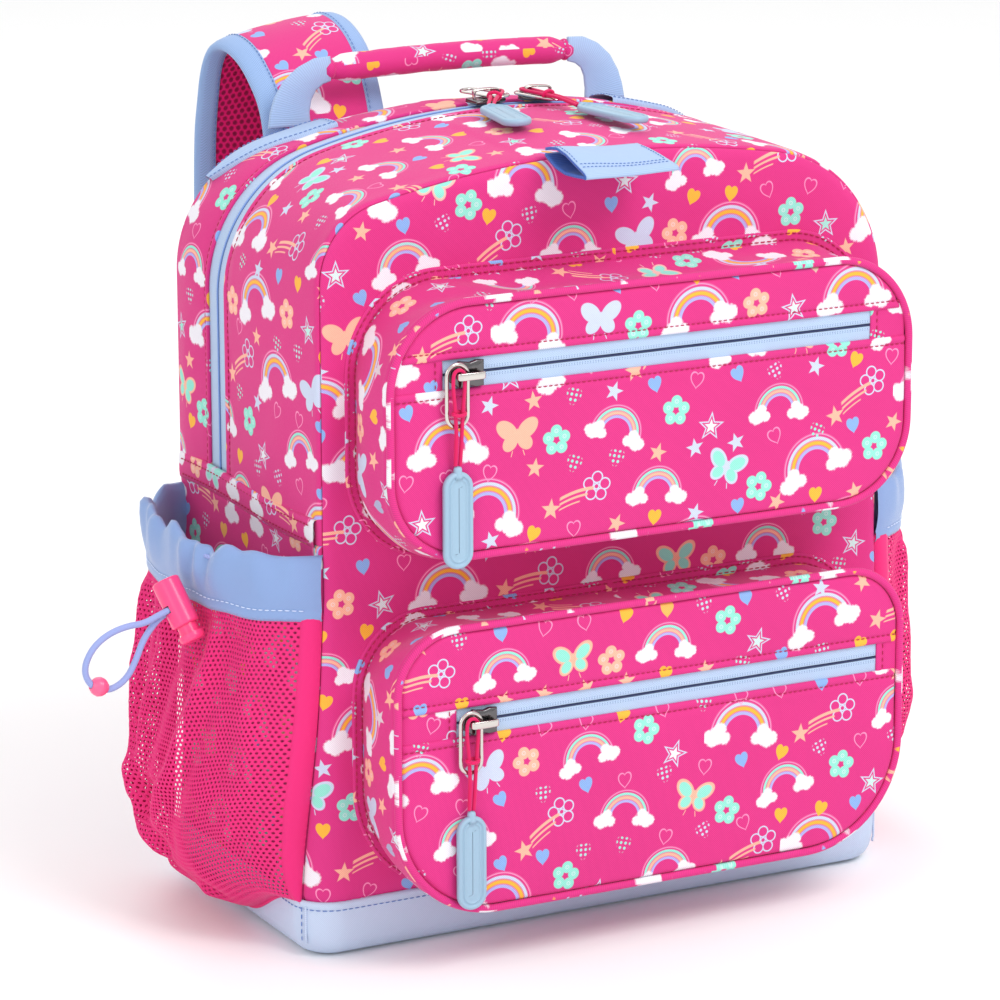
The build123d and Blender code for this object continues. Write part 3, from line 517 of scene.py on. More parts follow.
# Darker copy of the blue webbing for the hang loop's inner faces and rims: painted shade between its folded
# layers.
webbing_painted_shade = woven_material("webbing_painted_shade", srgb(70, 110, 196), kind="rib", pitch=1.3, depth=0.3)
# The slider plates' dark nickel is darkened further to paint in dark reflections that the white studio does
# not give.
nickel = metal_material("nickel", (0.13, 0.125, 0.13, 1), 0.18)
bright_nickel = metal_material("bright_nickel", (0.60, 0.57, 0.54, 1), 0.15)
tab_rubber = moulded_material("tab_rubber", srgb(148, 178, 200), 0.42)
coral = moulded_material("coral_plastic", srgb(250, 66, 128), 0.32, coat=0.2)
bead_plastic = moulded_material("bead_plastic", srgb(248, 96, 142), 0.35, coat=0.15)
acetal = moulded_material("blue_acetal", srgb(164, 190, 230), 0.45)
pink_braid = braid_material("pink_braid", srgb(222, 14, 96), 1.6)
blue_braid = braid_material("blue_braid", srgb(158, 172, 228), 2.4)
lining_cloth = woven_material("lining_cloth", srgb(170, 172, 180), kind="plain", pitch=0.6)
steel = metal_material("spring_steel", (0.5, 0.5, 0.52, 1), 0.3)


# ---- mesh making --------------------------------------------------------------------------------
def piece(name, verts, faces, uvs, mat, body, replaces=(), thick=0.0):
    """One object from vertices in millimetres and one (u, v) in millimetres for each face corner."""
    mesh = bpy.data.meshes.new(name)
    mesh.from_pydata([tuple(float(c) * MM for c in v) for v in verts], [], faces)
    layer = mesh.uv_layers.new(name="cloth")
    if uvs is not None:
        flat = np.asarray(uvs, np.float32).reshape(-1)
        layer.data.foreach_set("uv", flat)
    for poly in mesh.polygons:
        poly.use_smooth = True
    mesh.materials.append(mat)
    obj = bpy.data.objects.new(name, mesh)
    bpy.context.scene.collection.objects.link(obj)
    if thick:
        solid = obj.modifiers.new("thickness", "SOLIDIFY")
        solid.thickness = thick * MM
        solid.offset = -1.0
        solid.use_rim = True
    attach(obj, body)
    if replaces:
        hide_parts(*replaces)
    return obj


def grid_piece(name, points, uv, mat, body, loop=False, replaces=(), thick=0.0, flip=False):
    """Sheet through a rows x columns array of points; loop joins the last column to the first."""
    points = np.asarray(points, float)
    uv = np.asarray(uv, float)
    rows, cols = points.shape[:2]
    faces, corners = [], []
    last = cols if loop else cols - 1
    for i in range(rows - 1):
        for j in range(last):
            k = (j + 1) % cols
            quad = [i * cols + j, i * cols + k, (i + 1) * cols + k, (i + 1) * cols + j]
            at = [uv[i, j], uv[i, j + 1], uv[i + 1, j + 1], uv[i + 1, j]]
            if flip:
                quad.reverse()
                at.reverse()
            faces.append(quad)
            corners.extend(at)
    return piece(name, points.reshape(-1, 3), faces, corners, mat, body, replaces, thick)


def arc_uv(points, loop=False, u0=0.0, v0=0.0):
    """(u, v) by distance along the middle row and down each column."""
    points = np.asarray(points, float)
    if loop:
        points = np.concatenate([points, points[:, :1]], axis=1)
    middle = points[points.shape[0] // 2]
    u = np.concatenate([[0], np.cumsum(np.linalg.norm(np.diff(middle, axis=0), axis=1))])
    steps = np.linalg.norm(np.diff(points, axis=0), axis=2)
    v = np.concatenate([np.zeros((1, points.shape[1])), np.cumsum(steps, axis=0)])
    return np.stack([np.broadcast_to(u + u0, v.shape), v + v0], axis=2)


def ring_angles(count):
    return np.linspace(0, 2 * math.pi, count, endpoint=False)


def tube(name, path, radius, mat, body, loop=False, sides=10, replaces=(), v_scale=1.0, v0=0.0):
    """Round bar along a path; radius is one number or one for each point."""
    path = np.asarray(path, float)
    count = len(path)
    radii = np.broadcast_to(np.asarray(radius, float), (count,))
    ahead = np.roll(path, -1, axis=0) - np.roll(path, 1, axis=0)
    if not loop:
        ahead[0], ahead[-1] = path[1] - path[0], path[-1] - path[-2]
    ahead /= np.linalg.norm(ahead, axis=1)[:, None]
    side = unit(np.cross(ahead[0], (0.13, 0.31, 0.94)))
    rows = []
    for k in range(count):
        side = unit(side - ahead[k] * np.dot(side, ahead[k]))
        up = np.cross(ahead[k], side)
        turn = ring_angles(sides)
        rows.append([path[k] + radii[k] * (math.cos(t) * side + math.sin(t) * up) for t in turn])
    run = np.concatenate([[0], np.cumsum(np.linalg.norm(np.diff(path, axis=0), axis=1))])
    uv = np.zeros((count + (1 if loop else 0), sides + 1, 2))
    uv[:count, :, 0] = run[:, None]
    if loop:
        uv[count, :, 0] = run[-1] + np.linalg.norm(path[0] - path[-1])
    uv[:, :, 1] = v0 + np.arange(sides + 1) * (v_scale / sides)
    verts = np.asarray(rows).reshape(-1, 3).tolist()
    faces, corners = [], []
    for i in range(count if loop else count - 1):
        for j in range(sides):
            i2, j2 = (i + 1) % count, (j + 1) % sides
            faces.append([i * sides + j, i * sides + j2, i2 * sides + j2, i2 * sides + j])
            corners.extend([uv[i, j], uv[i, j + 1], uv[i + 1, j + 1], uv[i + 1, j]])
    if not loop:
        for end, order in ((0, -1), (count - 1, 1)):
            faces.append([end * sides + j for j in range(sides)][::order])
            corners.extend([(0, 0)] * sides)
    return piece(name, verts, faces, corners, mat, body, replaces)


def lathe(name, profile, origin, axis, mat, body, sides=32, replaces=()):
    """Turned form: profile is (distance along the axis, radius) from end to end."""
    axis = unit(axis)
    across = unit(np.cross(axis, (0.3, 0.9, 0.1)))
    other = np.cross(axis, across)
    points = [[np.asarray(origin) + axis * a + r * (math.cos(t) * across + math.sin(t) * other)
               for t in ring_angles(sides)] for a, r in profile]
    return grid_piece(name, points, arc_uv(points, loop=True), mat, body, loop=True,
                      replaces=replaces)


def stitches(name, runs, mat, body, pitch=3.2, length_mm=2.3, radius=0.32):
    """Rows of sewn thread: each run is (path, outward normal or one for each point)."""
    verts, faces = [], []
    for path, outward in runs:
        path = np.asarray(path, float)
        total = path_length(path)
        count = max(int(total / pitch), 1)
        spots = resample(path, 2 * count + 1)
        normals = np.asarray(outward, float)
        if normals.ndim == 2:
            normals = resample(normals, 2 * count + 1)
        for k in range(count):
            centre = spots[2 * k + 1]
            along = spots[2 * k + 2] - spots[2 * k]
            if np.linalg.norm(along) < 1e-6:
                continue
            along = unit(along)
            n = unit(normals if normals.ndim == 1 else normals[2 * k + 1])
            across = unit(np.cross(along, n))
            base = len(verts)
            half = length_mm / 2
            for t, r in ((-1.0, 0.35), (-0.6, 0.95), (0.0, 1.0), (0.6, 0.95), (1.0, 0.35)):
                lift = radius * (0.55 - 0.7 * t * t)
                for a in range(5):
                    turn = 2 * math.pi * a / 5
                    verts.append(centre + along * (t * half) + n * lift
                                 + r * radius * (math.cos(turn) * across + math.sin(turn) * n))
            for ring in range(4):
                for a in range(5):
                    b = (a + 1) % 5
                    p, q = base + ring * 5, base + (ring + 1) * 5
                    faces.append([p + a, p + b, q + b, q + a])
            faces.append([base + a for a in range(5)][::-1])
            faces.append([base + 20 + a for a in range(5)])
    corner_count = sum(len(f) for f in faces)
    return piece(name, verts, faces, np.zeros((corner_count, 2)), mat, body)


def wrinkle(p, scale, amount, seed=0.0):
    """Smooth seeded unevenness at a point."""
    return amount * noise.noise(Vector((p[0] / scale + seed, p[1] / scale - seed, p[2] / scale + 2 * seed)))


# ---- free cords ---------------------------------------------------------------------------------
def cord_curve(name, points, radius, mat, body, replaces=()):
    """Smooth cord: a NURBS line with the route's points as its control points."""
    data = bpy.data.curves.new(name, "CURVE")
    data.dimensions = "3D"
    line = data.splines.new("NURBS")
    line.points.add(len(points) - 1)
    for point, at in zip(line.points, points):
        point.co = (at[0] * MM, at[1] * MM, at[2] * MM, 1.0)
    line.order_u = 3
    line.use_endpoint_u = True
    line.resolution_u = 10
    data.bevel_depth = radius * MM
    data.bevel_resolution = 4
    data.use_fill_caps = True
    data.materials.append(mat)
    obj = bpy.data.objects.new(name, data)
    bpy.context.scene.collection.objects.link(obj)
    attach(obj, body)
    if replaces:
        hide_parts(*replaces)
    return obj


def curve_line(obj):
    """Points of a cord's own smooth line, in millimetres."""
    bare = obj.copy()
    bare.data = obj.data.copy()
    bare.data.bevel_depth = 0.0
    line = bpy.data.meshes.new_from_object(bare)
    points = [tuple(c / MM for c in v.co) for v in line.vertices]
    bpy.data.objects.remove(bare)
    return points


# ---- bag outline --------------------------------------------------------------------------------
FRONT_Y, ZIP_Y, BACK_Y = -77.0, 30.0, 77.0
HALF, BASE_HALF, WAIST_Z = 142.0, 150.0, 165.0
SIDE_TOP_Z = 190.0
# y, top, left corner radius, right corner radius, crown radius
FRONT_ARCH = (FRONT_Y, 352.5, 36.0, 66.0, 500.0)
ZIP_ARCH = (ZIP_Y, 357.0, 66.0, 66.0, 344.0)
BACK_ARCH = (BACK_Y, 352.0, 56.0, 56.0, 400.0)


def arch_at(y):
    low, high = (FRONT_ARCH, ZIP_ARCH) if y <= ZIP_Y else (ZIP_ARCH, BACK_ARCH)
    t = (y - low[0]) / (high[0] - low[0])
    return [a + (b - a) * t for a, b in zip(low, high)]


def side_half(z):
    return HALF + (BASE_HALF - HALF) * max(0.0, 1 - z / WAIST_Z)


def half_arch(top, corner, crown, inset, low_z):
    """Right half of the outline from low_z up to the crest."""
    shoulder_x = HALF - corner
    centre_z = top - crown
    shoulder_z = centre_z + math.sqrt((crown - corner) ** 2 - shoulder_x ** 2)
    meet = math.atan2(shoulder_z - centre_z, shoulder_x)
    points = [(side_half(z) - inset, z) for z in np.linspace(low_z, shoulder_z, 80, endpoint=False)]
    for a in np.linspace(0, meet, 60, endpoint=False):
        points.append((shoulder_x + (corner - inset) * math.cos(a),
                       shoulder_z + (corner - inset) * math.sin(a)))
    for a in np.linspace(meet, math.pi / 2, 60):
        points.append(((crown - inset) * math.cos(a), centre_z + (crown - inset) * math.sin(a)))
    return points


def arch_line(y, count, inset=0.0, low_z=SIDE_TOP_Z):
    """(x, z) along the outline at depth y, from the left foot over the crest to the right foot."""
    _, top, left, right, crown = arch_at(y)
    a = half_arch(top, left, crown, inset, low_z)
    b = half_arch(top, right, crown, inset, low_z)
    return resample([(-x, z) for x, z in a] + [(x, z) for x, z in reversed(b[:-1])], count)


def outward(line):
    """Unit normals in the plane, pointing out of a left-to-right arch."""
    ahead = np.gradient(np.asarray(line, float), axis=0)
    ahead /= np.linalg.norm(ahead, axis=1)[:, None]
    return np.stack([-ahead[:, 1], ahead[:, 0]], axis=1)


def edge_radius(z):
    """How round the front edge is: soft at the shoulders, rounder towards the base's corners."""
    return 6.0 + 11.0 * smooth((150.0 - z) / 120.0)


def seam_angle(z):
    """Where the front seam lies on that round edge: 0 on the front, 90 on the side, in degrees."""
    return 48.0 + 24.0 * smooth((150.0 - z) / 120.0)


def on_front_edge(point, normal, z, degrees, lift=0.0):
    """Point on the round front edge; lift is outwards along its own normal."""
    r = edge_radius(z)
    a = math.radians(degrees)
    inset = r * (1 - math.sin(a)) - lift * math.sin(a)
    y = FRONT_Y + r * (1 - math.cos(a)) - lift * math.cos(a)
    return (point[0] - normal[0] * inset, y, point[1] - normal[1] * inset)


def boot_tuck(z):
    """How far the shell's cloth draws in where it runs down behind the boot's top."""
    return 1.7 * smooth((29.0 - z) / 3.5) + 2.6 * smooth((22.0 - z) / 8.0)


# ---- front panel --------------------------------------------------------------------------------
def front_panel():
    arch = arch_line(FRONT_Y, 300, low_z=14.0)
    normals = outward(arch)
    across = np.linspace(0, 1, 62)[1:-1, None]
    rows, uv = [], []
    profile = [(1.0, -1.6), (0.985, -0.5), (0.95, 0.15), (0.88, 0.35), (0.75, 0.3), (0.55, 0.1),
               (0.30, 0.0), (0.0, 0.0)]
    for share, lift in profile:
        row, row_uv = [], []
        for p, n in zip(arch, normals):
            angle = seam_angle(p[1]) * share
            row.append(on_front_edge(p, n, p[1], angle, lift - boot_tuck(p[1])))
            spread = edge_radius(p[1]) * (math.radians(angle) - 1)
            row_uv.append((p[0] + n[0] * spread, p[1] + n[1] * spread))
        foot = np.asarray(row[-1]) * (1 - across) + np.asarray(row[0]) * across
        foot[:, 1] = FRONT_Y + 4.0
        foot[:, 2] -= 5 * share
        rows.append(row + foot.tolist())
        uv.append(row_uv + foot[:, (0, 2)].tolist())
    edge = np.asarray(rows[-1])
    edge_uv = np.asarray(uv[-1])
    centre = np.array((0.0, FRONT_Y, 175.0))
    for s in np.concatenate([np.linspace(0.97, 0.1, 34), [0.0005]]):
        row = centre + (edge - centre) * s
        for at in row:
            drape = wrinkle(at, 52.0, 1.3 * (1 - s ** 6), 3.1)
            at[1] = FRONT_Y + boot_tuck(at[2]) - drape - wrinkle(at, 21.0, 0.35, 7.7)
            if at[2] > 305:
                crease = math.sin((at[0] * 0.9 + at[2] * 1.9) / 13.0)
                at[1] -= 0.5 * crease * smooth((at[2] - 308) / 20) * (1 - s ** 8)
        rows.append(row)
        uv.append(edge_uv * s + np.array((0.0, 175.0)) * (1 - s))
    uv = [list(r) + [r[0]] for r in uv]
    grid_piece("front_panel_cloth", rows, uv, printed, "bag", loop=True,
               replaces=("front_panel",))


front_panel()


# ---- gussets, side panels and the main zip ------------------------------------------------------
def lifted(y, count, lift):
    """The outline at depth y, raised off the shell."""
    arch = arch_line(y, count)
    return [(p[0] + n[0] * lift, y, p[1] + n[1] * lift) for p, n in zip(arch, outward(arch))]


def gusset(name, node, front):
    """Zipped arch before or behind the zip; the front one also wraps the round front edge."""
    count = 300
    rows = []
    if front:
        arch = arch_line(FRONT_Y, count)
        normals = outward(arch)
        for share, lift in ((0.0, -1.7), (0.02, -0.6), (0.08, 0.2), (0.2, 0.45), (0.45, 0.35), (0.75, 0.15)):
            row = []
            for p, n in zip(arch, normals):
                start = seam_angle(p[1])
                row.append(on_front_edge(p, n, p[1], start + (90 - start) * share, lift))
            rows.append(row)
        y_start = FRONT_Y + 9.0
        end = ZIP_Y - TAPE_SHOWN
        inner_end = end - FOLD
    else:
        for lift, shift in ((-1.4, 0.5), (-0.5, -0.2), (0.4, 0.0), (0.6, 0.9), (0.35, 2.0), (-0.25, 3.0)):
            rows.append(lifted(ZIP_Y + TAPE_SHOWN + shift, count, lift))
        y_start = ZIP_Y + TAPE_SHOWN + FOLD
        inner_end = BACK_Y - BACK_ROLL
    for y in np.linspace(y_start, inner_end, 16):
        arch = arch_line(y, count)
        normals = outward(arch)
        share = (y - y_start) / (inner_end - y_start)
        row = []
        for p, n in zip(arch, normals):
            puff = 1.6 * math.sin(math.pi * share)
            at = np.array((p[0], y, p[1]))
            puff += wrinkle(at, 40.0, 1.5 * math.sin(math.pi * min(max(share, 0.12), 0.88)), 1.7)
            puff += wrinkle(at, 17.0, 0.35, 5.0)
            if front and -60 < p[0] < 110 and p[1] > 330:
                fold = math.sin((p[0] + 1.3 * y) / 15.0)
                puff += 0.7 * fold * smooth((60 - abs(p[0] - 25)) / 40) * math.sin(math.pi * share)
            if front:    # flat where the main pulls pass over it
                clear = smooth((318 - p[1]) / 20) + smooth((44 - abs(p[0] - 2)) / 12)
                puff = min(puff, 0.3 + 4.0 * clear)
            row.append((p[0] + n[0] * puff, y, p[1] + n[1] * puff))
        rows.append(row)
    if front:
        for shift, lift in ((3.0, -0.25), (2.0, 0.35), (0.9, 0.6), (0.0, 0.4), (-0.2, -0.5), (0.5, -1.4)):
            rows.append(lifted(end - shift, count, lift))
    else:
        arch = arch_line(BACK_Y, count)
        normals = outward(arch)
        for degrees, lift in ((20, 0.1), (45, 0.3), (62, 0.35), (74, 0.1), (80, -0.6), (84, -1.8)):
            a = math.radians(degrees)
            inset = BACK_ROLL * (1 - math.cos(a)) - lift * math.cos(a)
            y = BACK_Y - BACK_ROLL + (BACK_ROLL + lift) * math.sin(a)
            rows.append([(p[0] - n[0] * inset, y, p[1] - n[1] * inset) for p, n in zip(arch, normals)])
    uv = arc_uv(rows, u0=37.0 if front else 211.0)
    uv = np.stack([-uv[..., 1], uv[..., 0]], axis=2)
    grid_piece(name, rows, uv, printed, "bag", replaces=(node,), flip=True)


TAPE_SHOWN = 9.2    # half the width of main zip tape between the gussets' folds
FOLD = 4.0
BACK_ROLL = 5.0
gusset("gusset_front_cloth", "gusset_front", True)
gusset("gusset_rear_cloth", "gusset_rear", False)


def side_panel(side, name):
    """Lower side from the boot to the band seam, wrapping the round corners front and back."""
    rows = []
    zs = np.concatenate([np.linspace(14, 180, 56), [184, 186.5, 188.3, 189.6, 190.2]])
    for z in zs:
        half = side_half(z)
        r = edge_radius(z)
        start = seam_angle(z)
        row = []
        for share, lift in ((0.0, -1.7), (0.03, -0.6), (0.1, 0.2), (0.25, 0.4), (0.5, 0.3), (1.0, 0.0)):
            a = math.radians(start + (90 - start) * share)
            lift -= boot_tuck(z)
            row.append((side * (half - r * (1 - math.sin(a)) + lift * math.sin(a)),
                        FRONT_Y + r * (1 - math.cos(a)) - lift * math.cos(a), z))
        for y in np.linspace(FRONT_Y + r + 4, BACK_Y - r - 2, 24):
            puff = wrinkle((half, y, z), 38.0, 1.1, 2.0 + side) - boot_tuck(z)
            row.append((side * (half + puff), y, z))
        for degrees in (0, 25, 45, 60, 75, 84):
            a = math.radians(degrees)
            r_in = r + boot_tuck(z)
            row.append((side * (half - r_in * (1 - math.cos(a)) - boot_tuck(z) * math.cos(a)),
                        BACK_Y - r + (r - boot_tuck(z)) * math.sin(a), z))
        if z > 183:
            lift = {184.0: 0.1, 186.5: 0.5, 188.3: 0.6, 189.6: 0.1, 190.2: -1.2}[float(z)]
            row = [(x + side * lift, y, h) for x, y, h in row]
        rows.append(row)
    flat = arc_uv(rows)
    height = np.broadcast_to(zs[:, None], flat.shape[:2])
    uv = np.stack([flat[..., 0] * -side + 17 * side, height + (5 if side < 0 else 19)], axis=2)
    grid_piece(f"side_cloth_{name}", rows, uv, printed, "bag",
               replaces=(f"side_panel_{name}",), flip=side > 0)


side_panel(-1, "left")
side_panel(1, "right")


def band(side, name):
    """Folded band over the seam between the side panel and the zipped arch, two stitch rows."""
    rows = []
    for z, lift in ((189.0, -0.6), (188.4, 0.7), (189.4, 1.5), (192.0, 1.7), (196.0, 1.6), (199.6, 1.5),
                    (200.8, 1.0), (200.9, -0.4)):
        row = []
        for y in np.linspace(FRONT_Y + 4.5, BACK_Y - 6, 60):
            puff = 1.6 * math.sin(math.pi * (y - FRONT_Y) / 154) * smooth((z - 189) / 10)
            row.append((side * (HALF + lift + puff * 0.6), y, z + 0.8 * math.sin(y / 21.0)))
        rows.append(row)
    uv = arc_uv(rows, u0=71, v0=180)
    uv[..., 0] *= -side
    grid_piece(f"side_band_{name}", rows, uv, printed, "bag", flip=side > 0)
    n = (side, 0, 0)
    line = [[(side * (HALF + 1.9 + 0.3 * (z > 195)), y, z + 0.8 * math.sin(y / 21.0))
             for y in np.linspace(FRONT_Y + 8, BACK_Y - 9, 50)] for z in (191.0, 198.2)]
    stitches(f"side_band_stitching_{name}", [(line[0], n), (line[1], n)], pink_thread, "bag")


band(-1, "left")
band(1, "right")


def main_zip():
    rows = []
    offsets = (-11.0, -9.0, -6.5, -4.0, -2.0, -0.9, -0.45, 0.45, 0.9, 2.0, 4.0, 6.5, 9.0, 11.0)
    for d in offsets:
        rows.append(lifted(ZIP_Y + d, 320, -1.0 if abs(d) > 0.6 else -1.5))
    flat = arc_uv(rows)
    across = np.broadcast_to(np.asarray(offsets)[:, None], flat.shape[:2])
    uv = np.stack([flat[..., 0], across], axis=2)
    grid_piece("main_zip_tape", rows, uv, plain_tape, "bag", replaces=("main_zip_chain",),
               flip=True)
    tube("main_zip_coil", lifted(ZIP_Y, 500, -0.75), 0.42, pale_coil, "bag", sides=8)


main_zip()


def inner_bag():
    """Lining, a soft bag inside the shell."""
    rows = []
    for y, inset in ((-70, 60.0), (-70, 20.0), (-66, 11.0), (-30, 7.0), (ZIP_Y - 6, 7.0), (ZIP_Y + 6, 7.0),
                     (60, 8.0), (66, 12.0), (67, 60.0)):
        arch = arch_line(y, 120, inset=min(inset, 20.0), low_z=16.0)
        shrink = 1.0 if inset < 50 else 0.5
        row = [(x * shrink, y, 170 + (z - 170) * shrink) for x, z in arch]
        rows.append(row)
    grid_piece("lining_bag", rows, arc_uv(rows, loop=True), lining_cloth, "bag", loop=True,
               replaces=("lining",), flip=True)


inner_bag()


# ---- front pockets ------------------------------------------------------------------------------
FACE_Y = -119.0
ZIP_HALF = 6.7
# seam and face: (centre x, centre z, width, height, top radius, bottom radius); zip: (left, right, z)
POCKETS = {
    "upper": ((2.0, 244.0, 264.0, 128.0, 44.0, 42.0), (0.5, 245.5, 262.0, 115.0, 40.0, 38.0),
              (-105.0, 110.5, 270.5)),
    "lower": ((1.0, 91.0, 258.0, 132.0, 36.0, 54.0), (1.0, 93.0, 258.0, 133.0, 30.0, 50.0),
              (-99.0, 117.0, 115.5)),
}


def rounded(shape, inset=0.0, count=400):
    """(x, z) round a rounded rectangle, clockwise from the middle of its top, evenly spaced."""
    cx, cz, w, h, rt, rb = shape
    w, h, rt, rb = w - 2 * inset, h - 2 * inset, max(rt - inset, 1.0), max(rb - inset, 1.0)
    pts = [(cx, cz + h / 2)]
    for x, z, r, a0 in ((w / 2 - rt, h / 2 - rt, rt, 90), (w / 2 - rb, -h / 2 + rb, rb, 0),
                        (-w / 2 + rb, -h / 2 + rb, rb, -90), (-w / 2 + rt, h / 2 - rt, rt, -180)):
        for a in np.linspace(a0, a0 - 90, 25):
            t = math.radians(a)
            pts.append((cx + x + r * math.cos(t), cz + z + r * math.sin(t)))
    return resample(pts, count, closed=True)


def inside_depth(shape, x, z):
    """Distance in from a rounded rectangle's edge."""
    cx, cz, w, h, rt, rb = shape
    r = rt if z > cz else rb
    qx, qz = abs(x - cx) - (w / 2 - r), abs(z - cz) - (h / 2 - r)
    outside = math.hypot(max(qx, 0), max(qz, 0)) + min(max(qx, qz), 0)
    return r - outside


def loop_normals(loop):
    ahead = np.roll(loop, -1, axis=0) - np.roll(loop, 1, axis=0)
    ahead /= np.linalg.norm(ahead, axis=1)[:, None]
    return np.stack([-ahead[:, 1], ahead[:, 0]], axis=1)


def pocket_welt(name, seam):
    """Flat folded strip round the pocket's seam, sewn down with two rows."""
    rows = []
    for inset, lift in ((-0.1, -0.6), (-0.25, 0.5), (0.3, 1.15), (1.2, 1.0), (2.6, 1.3), (4.1, 1.0),
                        (5.0, 1.25), (6.0, 0.9), (6.6, 0.0)):
        loop = rounded(seam, inset)
        rows.append([(x, FRONT_Y - lift - wrinkle((x, 0, z), 30.0, 0.35, 4.0), z) for x, z in loop])
    uv = arc_uv(rows, loop=True, u0=13.0)
    grid_piece(f"{name}_pocket_welt", rows, uv, printed, "bag", loop=True)
    runs = [([(x, FRONT_Y - 1.35, z) for x, z in rounded(seam, inset)], (0, -1, 0))
            for inset in (1.2, 4.1)]
    stitches(f"{name}_pocket_welt_stitching", runs, pink_thread, "bag")


def pocket_gusset(name, seam, face):
    """Soft wall from the welt out to the piping: puffed at the sides, sagging along the top."""
    rows = []
    low, high = rounded(seam, 4.8), rounded(face, 0.6)
    for t in np.concatenate([[-0.02, 0.0, 0.02, 0.05], np.linspace(0.1, 0.9, 17), [0.95, 0.98, 1.0]]):
        share = min(max(t, 0.0), 1.0)
        base = low * (1 - share) + high * share
        normals = loop_normals(base)
        bow = math.sin(math.pi * share)
        row = []
        for (x, z), n in zip(base, normals):
            y = FRONT_Y - 0.3 - 40.0 * share + (1.2 if t < 0 else 0)
            top = max(n[1], 0.0)
            out = 2.2 * bow * (1 - top) - 4.2 * top * bow * (0.75 + 0.25 * math.cos((x - 10) / 38.0))
            at = (x, y, z)
            out += wrinkle(at, 26.0, 1.5 * bow, 8.0) + 0.8 * bow * math.sin((x + 1.2 * y) / 11.0) * top
            if share > 0.9:
                out += 0.5 * smooth((share - 0.9) / 0.06) - 0.9 * smooth((share - 0.96) / 0.04)
            row.append((x + n[0] * out, y, z + n[1] * out))
        rows.append(row)
    uv = arc_uv(rows, loop=True, u0=41.0)
    grid_piece(f"{name}_pocket_gusset_cloth", rows, uv, printed, "bag", loop=True,
               replaces=(f"{name}_pocket_gusset",))


def pocket_piping(name, face):
    """Self-fabric roll round the face's edge, its seam allowance tucked in behind."""
    path = [(x, FACE_Y + 0.5 + wrinkle((x, 0, z), 24.0, 0.25, 2.2), z)
            for x, z in rounded(face, 1.7, 420)]
    tube(f"{name}_pocket_piping_roll", path, 1.75, printed, "bag", loop=True, sides=14,
         replaces=(f"{name}_pocket_piping",), v_scale=2.6, v0=4.2)


def pocket_face(name, face, zip_span, above):
    """Front of the pocket on one side of its zip, with the stitched fold along the tape."""
    cx, cz, w, h, rt, rb = face
    edge_z = zip_span[2] + (ZIP_HALF if above else -ZIP_HALF)
    limit = cz + h / 2 - 2.9 if above else cz - h / 2 + 2.9
    reach = abs(limit - edge_z)
    sign = 1 if above else -1
    fold = [(-0.15, 1.25), (-0.35, 0.7), (-0.2, 0.1), (0.25, -0.35), (0.9, -0.62), (1.7, -0.6),
            (2.5, -0.35), (3.1, 0.05), (3.5, -0.02), (4.2, -0.3), (5.2, -0.5)]
    ds = [d for d, _ in fold] + list(np.linspace(7.0, reach - 4.0, 12 if above else 34))
    ds += [reach - 2.6, reach - 1.6, reach - 0.8, reach - 0.2]
    heights = dict(fold)
    rows, uv = [], []
    shape = (cx, cz, w - 5.6, h - 5.6, rt - 2.8, rb - 2.8)
    for d in ds:
        z = edge_z + sign * d
        half = (w - 5.6) / 2
        r = shape[4] if z > cz else shape[5]
        over = abs(z - cz) - (shape[3] / 2 - r)
        if over > 0:
            half = half - r + math.sqrt(max(r * r - over * over, 0.0))
        row, row_uv = [], []
        for s in np.concatenate([[-1, -0.995, -0.985, -0.97], np.linspace(-0.95, 0.95, 131),
                                 [0.97, 0.985, 0.995, 1]]):
            x = cx + half * s
            depth = inside_depth(shape, x, z)
            tuck = 2.2 * (1 - smooth((depth + 0.1) / 2.6)) ** 1.5
            puff = 0.9 * smooth(depth / 16) * smooth((d - 4) / 14)
            ripple = wrinkle((x, 0, z), 30.0, 1.0 * smooth((d - 3) / 10), 6.0 + cz)
            ripple += wrinkle((x, 0, z), 12.0, 0.25, 1.0)
            y = FACE_Y + tuck - puff * 0.7 + min(ripple, 0.9) * 0.6 + heights.get(d, -0.45)
            y = max(y, FACE_Y - 0.6 - 0.75 * smooth((x - cx + 76.0) / 30.0))    # flat under the pull
            row.append((x, y, z))
            row_uv.append((x + 11 + cz * 0.7, z + 7.0 * sign + cz * 0.2))
        rows.append(row)
        uv.append(row_uv)
    label = "top" if above else "bottom"
    grid_piece(f"{name}_pocket_face_{label}_cloth", rows, uv, printed, "bag",
               replaces=(f"{name}_pocket_face_{label}",), flip=above)
    z = edge_z + sign * 3.2
    left, right = cx - w / 2 + 4.0, cx + w / 2 - 4.0
    stitches(f"{name}_pocket_face_{label}_stitching",
             [([(x, FACE_Y - 0.12, z) for x in np.linspace(left, right, 80)], (0, -1, 0))],
             pink_thread, "bag", pitch=2.7, length_mm=1.9, radius=0.26)


